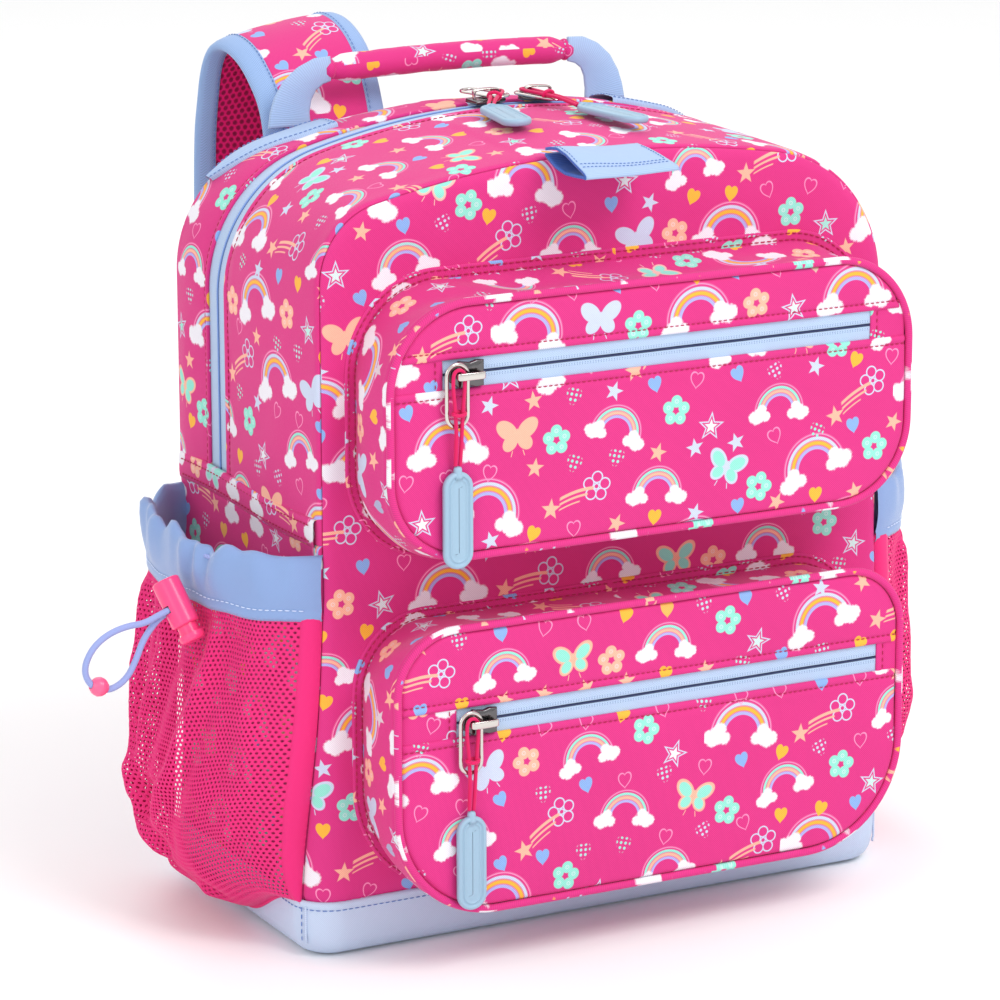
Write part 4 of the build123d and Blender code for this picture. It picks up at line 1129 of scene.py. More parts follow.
def pocket_zip(name, face, zip_span):
    left, right, zz = zip_span
    cx, cz, w, h, rt, rb = face
    offsets = (-8.4, -6.0, -4.0, -2.5, -1.5, -0.8, -0.4, 0.4, 0.8, 1.5, 2.5, 4.0, 6.0, 8.4)
    rows, uv = [], []
    for d in offsets:
        drop = 1.0 + (0.5 if abs(d) < 0.6 else 0.0) + 0.2 * smooth(abs(d) / 8)
        row = [(x, FACE_Y + drop + 0.12 * math.sin(x / 9.0), zz + d)
               for x in np.linspace(left - 2, right + 2, 90)]
        rows.append(row)
        uv.append([(p[0], d) for p in row])
    grid_piece(f"{name}_pocket_zip_tape", rows, uv, zip_tape, "bag",
               replaces=(f"{name}_pocket_zip_chain",))
    line = [(x, FACE_Y + 1.05 + 0.12 * math.sin(x / 9.0), zz) for x in np.linspace(left - 1, right + 1, 90)]
    tube(f"{name}_pocket_zip_coil", line, 0.32, coil_cord, "bag", sides=8)
    # printed inserts beyond the tape's ends
    for end, side, tag in ((left, -1, "left"), (right, 1, "right")):
        rows, uv = [], []
        outer = cx + side * (w / 2 - 3.2)
        for d in np.linspace(-8.4, 8.4, 9):
            row = [(end + side * t, FACE_Y + 0.65 + lift, zz + d)
                   for t, lift in ((-0.9, 0.6), (-1.1, 0.0), (-0.6, -0.3), (0.2, -0.45), (1.2, -0.35),
                                   (2.2, 0.0), (2.7, 0.15), (3.2, 0.0), (4.2, -0.15), (6.0, -0.15))]
            for s in np.linspace(0.15, 1.0, 8):
                x = (end + side * 6.0) * (1 - s) + outer * s
                row.append((x, FACE_Y + 0.5 + 1.4 * smooth((s - 0.85) / 0.15), zz + d))
            rows.append(row)
            uv.append([(p[0] + 29, p[2] + 3) for p in row])
        grid_piece(f"{name}_pocket_zip_end_{tag}", rows, uv, printed, "bag",
                   replaces=(f"{name}_pocket_zip_ends",), flip=side < 0)
        x = end + side * 2.4
        stitches(f"{name}_pocket_zip_end_{tag}_stitching",
                 [([(x, FACE_Y + 0.55, zz + d) for d in np.linspace(-6.4, 6.4, 12)], (0, -1, 0))],
                 pink_thread, "bag", pitch=2.7, length_mm=1.9, radius=0.26)


for pocket_name, (seam_shape, face_shape, zip_span) in POCKETS.items():
    pocket_welt(pocket_name, seam_shape)
    pocket_gusset(pocket_name, seam_shape, face_shape)
    pocket_piping(pocket_name, face_shape)
    pocket_face(pocket_name, face_shape, zip_span, True)
    pocket_face(pocket_name, face_shape, zip_span, False)
    pocket_zip(pocket_name, face_shape, zip_span)


# ---- side pockets -------------------------------------------------------------------------------
SECTIONS = ((9.0, 22.0), (30.0, 36.0), (70.0, 46.0), (122.0, 41.0), (158.0, 37.0), (186.0, 38.0))
POCKET_END = 72.0


def bottle_plan(side, s, z, bulge):
    """Point on the side pocket and its outward direction; s runs 0 to 1 from front to back."""
    t = 2 * s - 1
    reach = (1 - abs(t) ** 2.5) ** 0.62
    r, a = edge_radius(z), math.radians(seam_angle(z))
    front_y = FRONT_Y + r * (1 - math.cos(a)) - 0.6
    corner = 1 - smooth(s / 0.09)
    root = side_half(z) + 1.2 - (r * (1 - math.sin(a)) + 0.7) * corner
    x = root + bulge * reach
    y = front_y + (POCKET_END - front_y) * s
    slope = 1.55 * np.sign(t) * abs(t) ** 1.5 * (bulge / POCKET_END) * 1.2
    out = unit((side, slope, 0))
    return np.array((side * x, y, z)), out


def bulge_at(z):
    return float(np.interp(z, [a for a, _ in SECTIONS], [b for _, b in SECTIONS]))


# folds of the mesh as lines of (distance from the front seam, height above the boot) and a depth
MESH_FOLDS = (
    ([(112, 132), (104, 108), (118, 78), (128, 52), (134, 36)], 4.0, 7.0),
    ([(52, 118), (58, 92), (74, 62), (98, 36), (134, 24)], 4.6, 6.5),
    ([(150, 122), (146, 92), (140, 62), (128, 34), (112, 22)], 4.0, 6.0),
    ([(20, 126), (24, 96), (20, 60), (28, 34)], 1.6, 6.0),
    ([(70, 6), (100, 2), (130, 8)], 5.0, 5.0),
    ([(172, 118), (178, 70), (170, 28)], 3.0, 7.0),
)


def fold_lift(a, b):
    """How far a mesh point stands out on a fold."""
    lift = 0.0
    for line, height, half in MESH_FOLDS:
        best = 1e9
        for (x0, y0), (x1, y1) in zip(line, line[1:]):
            dx, dy = x1 - x0, y1 - y0
            t = min(max(((a - x0) * dx + (b - y0) * dy) / (dx * dx + dy * dy), 0), 1)
            best = min(best, math.hypot(a - x0 - t * dx, b - y0 - t * dy))
        lift += height * (math.exp(-(best / half) ** 2) - 0.45 * math.exp(-((best - 2 * half) / half) ** 2))
    return lift


MESH_WIDTH, MESH_HEIGHT = 198.0, 134.0
MESH_TOP_Z = 161.0


def mesh_point(side, a, b):
    """Place of a mesh thread a mm along the pocket and b mm up it."""
    s = min(max(a / MESH_WIDTH, 0.0), 1.0)
    edge = min(s, 1 - s)
    low = 25.0 - 16.0 * smooth((s - 0.07) / 0.30) * smooth((1 - s) / 0.16)
    h = b / MESH_HEIGHT
    z = low + (MESH_TOP_Z - low) * h
    swell = 1.0
    if z - low < 24:
        swell = math.sqrt(max(1 - (1 - (z - low) / 24) ** 2, 0.0))
    bulge = max(bulge_at(z) * swell - 1.5, 0.0)
    at, out = bottle_plan(side, s, z, bulge)
    mirror_a = a if side < 0 else MESH_WIDTH - a
    free = smooth(edge / 0.10) * smooth((1 - h) / 0.12) * smooth(h / 0.08)
    push = fold_lift(mirror_a, b) * free
    push += wrinkle(at, 28.0, 2.2 * free, 11.0) + wrinkle(at, 12.0, 0.7 * free, 3.0)
    low_edge = smooth((z - low) / 10)
    push = min(push - 1.2 * free, 4.6)
    if side < 0:    # pressed in a little by the cord lock
        push -= 2.4 * math.exp(-((at[1] + 32.0) ** 2 + (z - 143.0) ** 2) / 220.0)
    return at + out * push * (0.35 + 0.65 * low_edge)


def mesh_pocket(side, name, pitch=2.25):
    """Knitted mesh: every hole is a real one, with the yarn's edge turned down round it."""
    row_step = pitch * 0.866
    rows = int(MESH_HEIGHT / row_step)
    cols = int(MESH_WIDTH / pitch)
    index, flat = {}, []

    def corner(a, b):
        key = (round(a * 20), round(b * 20))
        if key not in index:
            index[key] = len(flat)
            flat.append((a, b, 0.0))
        return index[key]

    faces = []
    reach = pitch / math.sqrt(3)
    for row in range(rows + 1):
        for col in range(cols):
            ca = (col + 0.5 + (row % 2) * 0.5) * pitch
            cb = row * row_step
            outer, inner = [], []
            for k in range(6):
                t = math.pi / 6 + k * math.pi / 3
                outer.append(corner(ca + reach * math.cos(t), cb + reach * math.sin(t)))
                inner.append(len(flat))
                hole = 0.47 if 3.5 < ca < MESH_WIDTH - 3.5 and cb > 2.5 else 0.02
                flat.append((ca + reach * hole * math.cos(t), cb + reach * hole * math.sin(t), -0.42))
            for k in range(6):
                faces.append([outer[k], outer[(k + 1) % 6], inner[(k + 1) % 6], inner[k]])
    verts = []
    for a, b, depth in flat:
        aa = min(max(a, 0.0), MESH_WIDTH)
        bb = min(max(b, 0.0), MESH_HEIGHT)
        at = mesh_point(side, aa, bb)
        if depth:
            step = 0.6
            da = mesh_point(side, min(aa + step, MESH_WIDTH), bb) - at
            db = mesh_point(side, aa, min(bb + step, MESH_HEIGHT)) - at
            normal = np.cross(da, db)
            if np.linalg.norm(normal) > 1e-9:
                normal = unit(normal) * (1 if np.dot(normal, (side, 0, 0)) > 0 else -1)
                at = at + normal * depth
        verts.append(at)
    if side < 0:
        faces = [f[::-1] for f in faces]
    corners = [flat[k][:2] for f in faces for k in f]
    piece(f"mesh_pocket_{name}_knit", verts, faces, corners, mesh_yarn, "bag",
          replaces=(f"mesh_pocket_{name}",))
    # folded edges that cover the cut ends of the net
    for tag, start, inward in (("front", 0.0, 1), ("back", MESH_WIDTH, -1)):
        out = unit((side, -1.6 * inward, 0.0))
        rows = []
        for shift, lift in ((-0.4, -0.6), (0.1, 0.35), (1.0, 0.75), (2.4, 0.75), (3.8, 0.45), (4.2, -0.3)):
            a = min(max(start + shift * inward, 0.0), MESH_WIDTH)
            rows.append([mesh_point(side, a, b) + out * lift
                         for b in np.linspace(0.0, MESH_HEIGHT - 2.0, 70)])
        grid_piece(f"mesh_pocket_{name}_edge_{tag}", rows, arc_uv(rows), mesh_yarn, "bag",
                   flip=(side < 0) == (inward > 0))
    line = [mesh_point(side, a, 0.0) for a in np.linspace(0.0, MESH_WIDTH, 120)]
    tube(f"mesh_pocket_{name}_seam_low", line, 0.9, mesh_yarn, "bag", sides=8)


def pocket_hem(side, name):
    """Satin tunnel round the pocket's mouth, gathered by the cord inside it."""
    count = 240
    section = [(-3.6, 157.6), (0.2, 156.4), (0.9, 158.0), (0.9, 160.2), (0.6, 161.4), (1.0, 162.8),
               (1.6, 166.0), (1.9, 170.0), (1.8, 175.0), (1.5, 180.0), (0.7, 184.0), (-1.0, 186.0),
               (-2.6, 185.4), (-3.8, 182.0), (-4.4, 176.0), (-4.4, 168.0), (-3.9, 161.6), (-3.6, 157.6)]
    rows = []
    for n, z in section:
        row = []
        share = smooth((z - 161) / 8) * (0.45 + 0.55 * smooth((z - 166) / 16))
        for k in range(count + 1):
            s = k / count
            edge = smooth(min(s, 1 - s) / 0.05)
            at, out = bottle_plan(side, s, z, bulge_at(z) - 2.0)
            along = s * 190.0
            near = math.exp(-((s - 0.34) / 0.10) ** 2) if side < 0 else 0.3
            ripple = math.sin(along / 3.1 + 1.3 * math.sin(along / 11.0)) * (0.55 + 0.9 * near)
            ripple += math.sin(along / 6.3 + 0.8) * 0.9 + wrinkle(at, 16.0, 1.8, 14.0)
            lift = n + ripple * share * edge * (1.15 if n > -2 else 0.6) - 0.6 * near
            lift = min(lift, 3.4 - 1.0 * near)
            sag = (wrinkle((along, 0, 0), 15.0, 5.0, 21.0) - 2.6 * near + 0.8 * math.sin(along / 4.7)) * edge
            height = z + sag * smooth((z - 163) / 20) + 0.35 * math.sin(along / 5.0) * (z < 162)
            row.append((at[0] + out[0] * lift, at[1] + out[1] * lift, min(height, 188.5)))
        rows.append(row)
    grid_piece(f"pocket_hem_{name}_satin", rows, arc_uv(rows), blue_satin, "bag",
               replaces=(f"pocket_hem_{name}",), flip=side < 0)
    inside = [bottle_plan(side, s, 179.0, bulge_at(179.0) - 4.0)[0] for s in np.linspace(0.03, 0.97, 80)]
    tube(f"hem_cord_{name}", inside, 0.9, blue_braid, "bag", sides=10, replaces=("hem_cords",))
    line, normals = [], []
    for s in np.linspace(0.015, 0.985, 160):
        at, out = bottle_plan(side, s, 161.4, bulge_at(161.4) - 2.0)
        line.append(at + out * 0.85 + np.array((0, 0, 0.35 * math.sin(s * 38.0))))
        normals.append(out)
    stitches(f"pocket_hem_{name}_stitching", [(line, normals)], pale_thread, "bag",
             pitch=3.0, length_mm=2.1, radius=0.28)


# ---- boot ---------------------------------------------------------------------------------------
BOOT_CORNER = 18.0
BOOT_TAPER = 0.012


def boot():
    """Base band of blue twill, a folded hem at its top and round lower edges."""
    plan = rounded((0.0, 0.0, 2 * BASE_HALF, BACK_Y - FRONT_Y, BOOT_CORNER, BOOT_CORNER), 0.0, 420)
    directions = loop_normals(plan)
    rows = []
    profile = [(2.6, 25.4), (0.9, 26.6), (0.1, 26.6), (-0.75, 26.0), (-0.95, 24.8), (-0.75, 23.4),
               (-0.9, 21.0), (-1.0, 17.0), (-0.8, 13.0), (-0.3, 9.5), (0.6, 6.6), (2.2, 3.9), (4.4, 2.0),
               (7.2, 0.7), (11.0, 0.15), (20.0, 0.1), (40.0, 0.4), (70.0, 0.6)]
    for inset, z in profile:
        row = []
        taper = BOOT_TAPER * z
        for p, n in zip(plan, directions):
            soft = wrinkle((p[0], p[1], z * 1.4), 34.0, 0.8 * smooth((26 - z) / 8) * smooth(z / 8), 17.0)
            lift = -inset - taper + soft
            wave = 0.35 * math.sin(p[0] / 23.0) if z > 20 else 0
            row.append((p[0] + n[0] * lift, p[1] + n[1] * lift, z + wave))
        rows.append(row)
    uv = arc_uv(rows, loop=True)
    grid_piece("base_boot_cloth", rows, uv, blue_twill, "bag", loop=True,
               replaces=("base_boot",))
    seam_z = 23.2
    proud = 0.85 - BOOT_TAPER * seam_z
    line = [(p[0] + n[0] * proud, p[1] + n[1] * proud, seam_z) for p, n in zip(plan, directions)]
    normals = [(n[0], n[1], 0) for n in directions]
    runs = [(line, normals)]
    seams = []
    for sx in (-1, 1):
        for sy in (-1, 1):
            t = math.radians(58)
            n = np.array((sx * math.sin(t), sy * math.cos(t), 0))
            beside = np.array((sx * 2.2 * math.cos(t), -sy * 2.2 * math.sin(t), 0))
            path = []
            for z in np.linspace(24.5, 7.5, 14):
                corner = np.array((sx * (BASE_HALF - BOOT_CORNER), sy * (BACK_Y - BOOT_CORNER), z))
                path.append(corner + n * (BOOT_CORNER + 1.0 - BOOT_TAPER * z - 0.4 * (z < 10)))
            seams.append(path)
            runs.append(([p + beside for p in path], n))
    stitches("base_boot_stitching", runs, blue_thread, "bag", pitch=3.0, length_mm=2.2,
             radius=0.27)
    for k, path in enumerate(seams):
        tube(f"base_boot_seam_{k}", path, 0.55, blue_twill, "bag", sides=8)


# ---- carry handle -------------------------------------------------------------------------------
GRIP = (79.5, 370.5, 6.5)    # y, z and radius


def handle():
    path, radii = [], []
    for x in np.linspace(-63.0, 63.0, 70):
        end = (63.0 - abs(x)) / 10.0
        path.append((x, GRIP[0] + 0.4 * math.sin(x / 19.0), GRIP[1] + 1.6 * (1 - (x / 63.0) ** 2) - 0.6))
        pinch = 0.62 + 0.38 * smooth(end)
        radii.append((GRIP[2] - 0.1) * pinch + wrinkle((x, 0, 0), 9.0, 0.30, 23.0))
    tube("handle_grip_roll", path, radii, printed, "handle", sides=28,
         replaces=("handle_grip",), v_scale=41.0)
    seam = [(x, y + 2.4, z - 5.6) for x, y, z in path[4:-4]]
    stitches("handle_grip_stitching", [(seam, (0, 0, -1))], pink_thread, "handle",
             pitch=2.8, length_mm=2.0, radius=0.26)
    for side, name in ((-1, "left"), (1, "right")):
        inner = resample([(72.0, 345.0), (72.4, 351.0), (71.6, 357.0), (69.5, 361.5), (66.0, 364.2),
                          (62.0, 365.4)], 40)
        outer = resample([(93.0, 345.0), (91.8, 352.0), (89.6, 358.5), (85.0, 366.0), (78.0, 372.0),
                          (70.0, 375.6), (62.0, 376.0)], 40)
        rows = []
        for t in np.linspace(0, 1, 17):
            row = []
            for k, (a, b) in enumerate(zip(inner, outer)):
                x, z = a * (1 - t) + b * t
                rise = k / 39
                cup = 2.6 * (1 - (2 * t - 1) ** 2) * smooth(rise * 1.4) * (1 - 0.5 * rise)
                y = GRIP[0] - 0.9 - cup * 0.8 + 0.6 * math.sin(rise * 5.0)
                row.append((side * x, y, z))
            rows.append(row)
        uv = arc_uv(rows)
        grid_piece(f"handle_webbing_{name}", rows, uv, blue_webbing, "handle",
                   replaces=("handle_webbing",), thick=1.5, flip=side < 0)
        grid = np.asarray(rows)
        runs = [(grid[1], (0, -1, 0)), (grid[15], (0, -1, 0)), (grid[:, 3], (0, -1, 0))]
        zigzag = [grid[2 + 12 * (k % 2), k] for k in range(26, 39, 2)]
        runs.append((zigzag, (0, -1, 0)))
        stitches(f"handle_webbing_{name}_stitching", runs, blue_thread, "handle",
                 pitch=1.9, length_mm=1.4, radius=0.2)
        wrap = [(side * x, GRIP[0], GRIP[1] - drop) for x, drop in ((60.0, 0.4), (61.5, 0.4), (64.4, 0.6))]
        tube(f"handle_wrap_{name}", wrap, [4.6, 5.2, 4.3], printed, "handle", sides=20,
             v_scale=30.0)


ANCHOR_END = 324.0


def handle_anchor(side, name):
    """Webbing from the handle's root, sewn flat along the rear gusset to the shoulder."""
    rows = []
    for y, lift in ((49.5, 0.1), (49.6, 1.5), (50.6, 2.3), (54.0, 2.4), (60.0, 2.5), (66.0, 2.4), (71.5, 2.2),
                    (72.6, 1.6), (72.8, 0.3)):
        arch = arch_line(y, 300)
        normals = outward(arch)
        row = []
        picked = [k for k in range(300) if 70 < side * arch[k][0] and arch[k][1] > ANCHOR_END]
        for k in resample([(i, 0) for i in picked], 60)[:, 0]:
            lo = int(min(math.floor(k), 298))
            f = k - lo
            p = arch[lo] * (1 - f) + arch[lo + 1] * f
            n = normals[lo] * (1 - f) + normals[lo + 1] * f
            puff = lift + 1.3 * math.sin(math.pi * (y - 45) / 28)
            open_share = min((p[1] - ANCHOR_END) / 20.0, 1.0) ** 0.8
            place = 72.8 - (72.8 - y) * (0.12 + 0.88 * open_share)
            row.append((p[0] + n[0] * puff, place, p[1] + n[1] * puff))
        rows.append(row)
    uv = arc_uv(rows)
    grid_piece(f"handle_anchor_{name}", rows, uv, blue_webbing, "bag", flip=True)
    grid = np.asarray(rows)
    runs = []
    for row in (2, 6):
        line = grid[row]
        ahead = np.gradient(line, axis=0)
        normals = np.stack([-ahead[:, 2], np.zeros(len(line)), ahead[:, 0]], axis=1)
        runs.append((line + normals / np.linalg.norm(normals, axis=1)[:, None] * 0.25, normals))
    end = 2 if side > 0 else -3
    runs.append((grid[2:7, end] + np.array((0, 0, 0.4)), (0, 0, 1)))
    stitches(f"handle_anchor_{name}_stitching", runs, blue_thread, "bag", pitch=2.4,
             length_mm=1.7, radius=0.22)


# ---- hang loop ----------------------------------------------------------------------------------
def hang_loop():
    """Folded webbing sewn into the front seam: open and sagging on its left side."""
    root = np.array((0.0, -78.5, 353.5))
    ahead = unit((0.0, -1.0, -0.14))
    up = np.array((0.0, -ahead[2], ahead[1])) * -1
    rows = []
    for x in np.linspace(-33, 13, 33):
        open_left = smooth((-x + 2) / 34.0)
        gap = 1.0 + 4.2 * open_left
        path = [(-1.0, gap * 0.45), (3.0, gap * 0.75), (9.0, gap + 0.2), (17.0, gap * 0.85 + 0.3),
                (25.0, gap * 0.45 + 0.3), (31.5, gap * 0.15 + 0.4), (34.4, 0.3), (35.3, -0.8), (34.6, -1.9),
                (31.5, -2.3), (25.0, -2.2 - gap * 0.28), (17.0, -2.2 - gap * 0.5),
                (9.0, -2.1 - gap * 0.42), (3.0, -1.6 - gap * 0.2), (-1.0, -1.3)]
        row = []
        for d, n in resample(path, 56):
            skew = 2.0 * smooth(d / 36) * (x + 33) / 46
            wave = 0.2 * math.sin(x / 7.0) * smooth(d / 30)
            start = root + np.array((x + 1.2 * smooth(d / 36), 0, 0))
            row.append(start + ahead * (d - skew * 0.4) + up * (n + wave))
        rows.append(row)
    uv = arc_uv(rows)
    obj = grid_piece("hang_loop_webbing", rows, uv, blue_webbing, "hang_loop",
                     replaces=("hang_loop",), thick=1.3)
    # The inner faces and rims take the darker blue, painted shade in the gap between the loop's folded
    # layers.
    obj.data.materials.append(webbing_painted_shade)
    obj.modifiers["thickness"].material_offset = 1
    obj.modifiers["thickness"].material_offset_rim = 1
    grid = np.asarray(rows)
    runs = []
    for column in (20, 22):
        runs.append((grid[1:-1, column] + up * 0.15, up))
    for row in (1, 31):
        runs.append((grid[row, 4:20] + up * 0.15, up))
    stitches("hang_loop_stitching", runs, blue_thread, "hang_loop", pitch=1.9,
             length_mm=1.3, radius=0.2)


# ---- shoulder straps ----------------------------------------------------------------------------
PAD_LEFT = [(81.5, 318.0), (82.5, 337.0), (101.0, 362.0), (127.0, 376.5), (154.0, 379.5), (165.0, 368.0),
            (164.0, 344.0), (154.0, 300.0), (138.0, 245.0), (122.0, 192.0), (110.0, 152.0)]
PAD_RIGHT = [(81.5, 306.0), (82.5, 318.0), (98.0, 327.0), (114.0, 322.0), (124.0, 302.0), (127.0, 266.0),
             (124.0, 220.0), (118.0, 170.0), (110.0, 122.0), (106.0, 92.0)]
LEAN = math.radians(8)
CREST_ROLL = math.radians(9)
STRAP_X, STRAP_Z = 61.0, 338.0    # where the straps' middles leave the back
STRAP_HALF = 31.0
WEBBING_HALF = 12.5


def on_strap(side, y, z, w):
    """Point in a strap's leaning plane, w across the strap."""
    up = np.array((-side * math.sin(LEAN), 0.0, math.cos(LEAN)))
    tilt = LEAN * smooth((345.0 - z) / 60.0)
    tilt -= CREST_ROLL * smooth((y - 90.0) / 22.0) * smooth((z - 325.0) / 30.0)
    across = np.array((math.cos(tilt), 0.0, side * math.sin(tilt)))
    return np.array((side * STRAP_X, y, STRAP_Z)) + up * (z - STRAP_Z) + w * across


def rounded_line(points, count, passes=3):
    """Corner-cut and evenly spaced version of a route."""
    pts = np.asarray(points, float)
    for _ in range(passes):
        cut = [pts[0]]
        for a, b in zip(pts, pts[1:]):
            cut += [a * 0.75 + b * 0.25, a * 0.25 + b * 0.75]
        cut.append(pts[-1])
        pts = np.asarray(cut)
    return resample(pts, count)


def strap(side, name, route):
    count = 120
    line = rounded_line(route, count)
    ahead = np.gradient(line, axis=0)
    ahead /= np.linalg.norm(ahead, axis=1)[:, None]
    normal = np.stack([-ahead[:, 1], ahead[:, 0]], axis=1)

    def ends(k):
        """Share of the strap's length to its nearer end, and how narrow it is there."""
        end = min(k, count - 1 - k) / count
        return end, 1.0 if k < count / 2 else 0.62 + 0.38 * smooth(end / 0.07)

    def skin(offset, k):
        y, z = line[k]
        end, narrow = ends(k)
        row = []
        for w in widths:
            thick = 1.5 + 3.0 * (1 - abs(w / STRAP_HALF) ** 2.6) * smooth(end / 0.03 + 0.2)
            place = offset * thick
            place += wrinkle((w, y, z), 24.0, 0.8 * (1 - abs(w / STRAP_HALF) ** 3), 31.0 + side)
            row.append(on_strap(side, y + normal[k][0] * place, z + normal[k][1] * place, w * narrow))
        return row

    widths = list(np.linspace(-STRAP_HALF + 3, STRAP_HALF - 3, 25))
    outer = [skin(1.0, k) for k in range(count)]
    inner = [skin(-1.0, k) for k in range(count)]
    run = np.concatenate([[0], np.cumsum(np.linalg.norm(np.diff(line, axis=0), axis=1))])
    uv = [[(w + 14, s) for w in widths] for s in run]
    face = grid_piece(f"strap_pad_{name}_face", outer, uv, printed, "bag",
                      replaces=(f"strap_pad_{name}",))
    grid_piece(f"strap_pad_{name}_mesh", inner, uv, spacer_mesh, "bag", flip=True)
    for edge, tag in ((-1, "a"), (1, "b")):
        rows = []
        for k in range(count):
            y, z = line[k]
            end, narrow = ends(k)
            row = []
            for w, place in ((21.5, 3.35), (21.8, 3.9), (25.0, 3.45), (28.5, 2.6), (30.6, 1.6), (31.4, 0.0),
                             (30.6, -1.6), (28.5, -2.6), (25.0, -3.45), (21.8, -3.9), (21.5, -3.35)):
                place *= 0.55 + 0.45 * smooth(end / 0.03 + 0.3)
                ww = edge * w * narrow
                place += wrinkle((ww, y, z), 24.0, 0.8 * (1 - (w / 32) ** 3), 31.0 + side)
                row.append(on_strap(side, y + normal[k][0] * place, z + normal[k][1] * place, ww))
            rows.append(row)
        uvs = arc_uv(rows)
        uvs = np.stack([uvs[..., 1], uvs[..., 0]], axis=2)
        grid_piece(f"strap_pad_{name}_binding_{tag}", rows, uvs, blue_binding, "bag",
                   flip=edge < 0)
        grid = np.asarray(rows)
        out = np.stack([np.zeros(count), normal[:, 0], normal[:, 1]], axis=1)
        stitches(f"strap_pad_{name}_binding_{tag}_stitching",
                 [(grid[2:-2, 1] * 0.75 + grid[2:-2, 2] * 0.25 + out[2:-2] * 0.12, out[2:-2]),
                  (grid[2:-2, 9] * 0.75 + grid[2:-2, 8] * 0.25 - out[2:-2] * 0.12, -out[2:-2])],
                 blue_thread, "bag", pitch=3.0, length_mm=2.1, radius=0.24)
    # webbing from the base through the ladder lock
    end_y, end_z = route[-1]
    frame_z, frame_y = end_z - 21.0, end_y - 3.0
    inner_y, outer_y = frame_y - 2.9, frame_y + 2.9
    fold_z = frame_z + 6.3
    if name == "left":
        web = [(80.0, 30.0), (inner_y - 2, frame_z - 45), (inner_y, fold_z), (outer_y, fold_z),
               (outer_y + 1, frame_z - 24), (outer_y - 3, frame_z - 52)]
    else:
        web = [(80.0, 30.0), (inner_y - 6, 45.0), (inner_y, fold_z), (outer_y, fold_z),
               (outer_y + 1, frame_z - 20), (outer_y + 4, frame_z - 40)]
    path = rounded_line(web, 150, passes=4)
    rows = [[on_strap(side, y, z, w) for w in np.linspace(-WEBBING_HALF, WEBBING_HALF, 11)]
            for y, z in path]
    uvs = arc_uv(rows)
    uvs = np.stack([uvs[..., 1], uvs[..., 0]], axis=2)
    obj = grid_piece(f"strap_webbing_{name}_band", rows, uvs, blue_webbing, "bag",
                     replaces=(f"strap_webbing_{name}",), thick=1.4)
    obj.modifiers["thickness"].offset = 0.0
    # sewn tongue that holds the ladder lock on the pad's end
    tongue = rounded_line([(end_y + 3.4, end_z + 20), (end_y + 2.6, end_z), (frame_y + 2.6, frame_z + 12),
                           (frame_y, frame_z + 10.8), (frame_y - 2.6, frame_z + 12), (end_y - 3.2, end_z),
                           (end_y - 3.6, end_z + 20)], 70)
    rows = [[on_strap(side, y, z, w) for w in np.linspace(-12.0, 12.0, 9)] for y, z in tongue]
    uvs = arc_uv(rows)
    obj = grid_piece(f"strap_tongue_{name}", rows, np.stack([uvs[..., 1], uvs[..., 0]], axis=2),
                     blue_webbing, "bag", thick=1.2)
    grid = np.asarray(rows)
    stitches(f"strap_tongue_{name}_stitching",
             [(grid[k, 1:-1] + np.array((0, 0.9, 0)), (0, 1, 0)) for k in (3, 12)], blue_thread,
             "bag", pitch=2.0, length_mm=1.5, radius=0.22)


def wing_tab(side, name):
    anchor = on_strap(side, 80.0, 30.0, 0)[0]
    rows = []
    for share, y in ((0.0, 77.6), (0.0, 79.6), (0.04, 80.6), (0.25, 81.1), (0.6, 81.3), (1.0, 81.3)):
        row = []
        for t in ring_angles(80):
            c, s = math.cos(t), math.sin(t)
            big = max(abs(c), abs(s))
            x, z = c / big, s / big
            width = 18.0 - 4.0 * z
            row.append((anchor + x * width * (1 - share), y, 18.0 + z * 10.0 * (1 - share)))
        rows.append(row)
    grid_piece(f"wing_tab_{name}", rows, [[(p[0], p[2]) for p in r + r[:1]] for r in rows], blue_twill,
               "bag", loop=True, replaces=("wing_tabs",), flip=True)
    run = [(anchor + x, 81.2, z) for x, z in ((-19, 10), (-12.5, 26), (12.5, 26), (19, 10), (-19, 10))]
    stitches(f"wing_tab_{name}_stitching", [(run, (0, 1, 0))], blue_thread, "bag",
             pitch=2.8, length_mm=2.0, radius=0.22)


# ---- back panel ---------------------------------------------------------------------------------
def back_panel():
    """Padded mesh back: two long pads, a lumbar pad and air channels between them."""
    arch = arch_line(BACK_Y, 240, inset=3.6, low_z=22.0)
    foot = np.linspace(arch[-1], arch[0], 62)[1:-1]
    edge = np.vstack([arch, foot])
    centre = np.array((0.0, 190.0))
    rows, uv = [], []
    for s in np.concatenate([[1.0, 0.995, 0.985, 0.97], np.linspace(0.95, 0.05, 56), [0.001]]):
        row = centre + (edge - centre) * s
        out = []
        for x, z in row:
            tall = smooth((abs(x) - 9) / 9) * smooth((z - 96) / 10)
            low = smooth((88 - z) / 9)
            rim = smooth((1 - s) / 0.05)
            y = 74.9 + 2.1 * max(tall, low) * rim + wrinkle((x, 0, z), 30.0, 0.25, 41.0)
            if s > 0.94:
                y = 75.0 + 1.0 * math.sin(math.pi * min((1 - s) / 0.05, 1)) - 2.4 * (s > 0.999)
            out.append((x, min(y, 77.1), z))
        rows.append(out)
        uv.append([(p[0], p[2]) for p in out] + [(out[0][0], out[0][2])])
    obj = grid_piece("back_panel_mesh", rows, uv, spacer_mesh, "bag", loop=True,
                     replaces=("back_panel",))


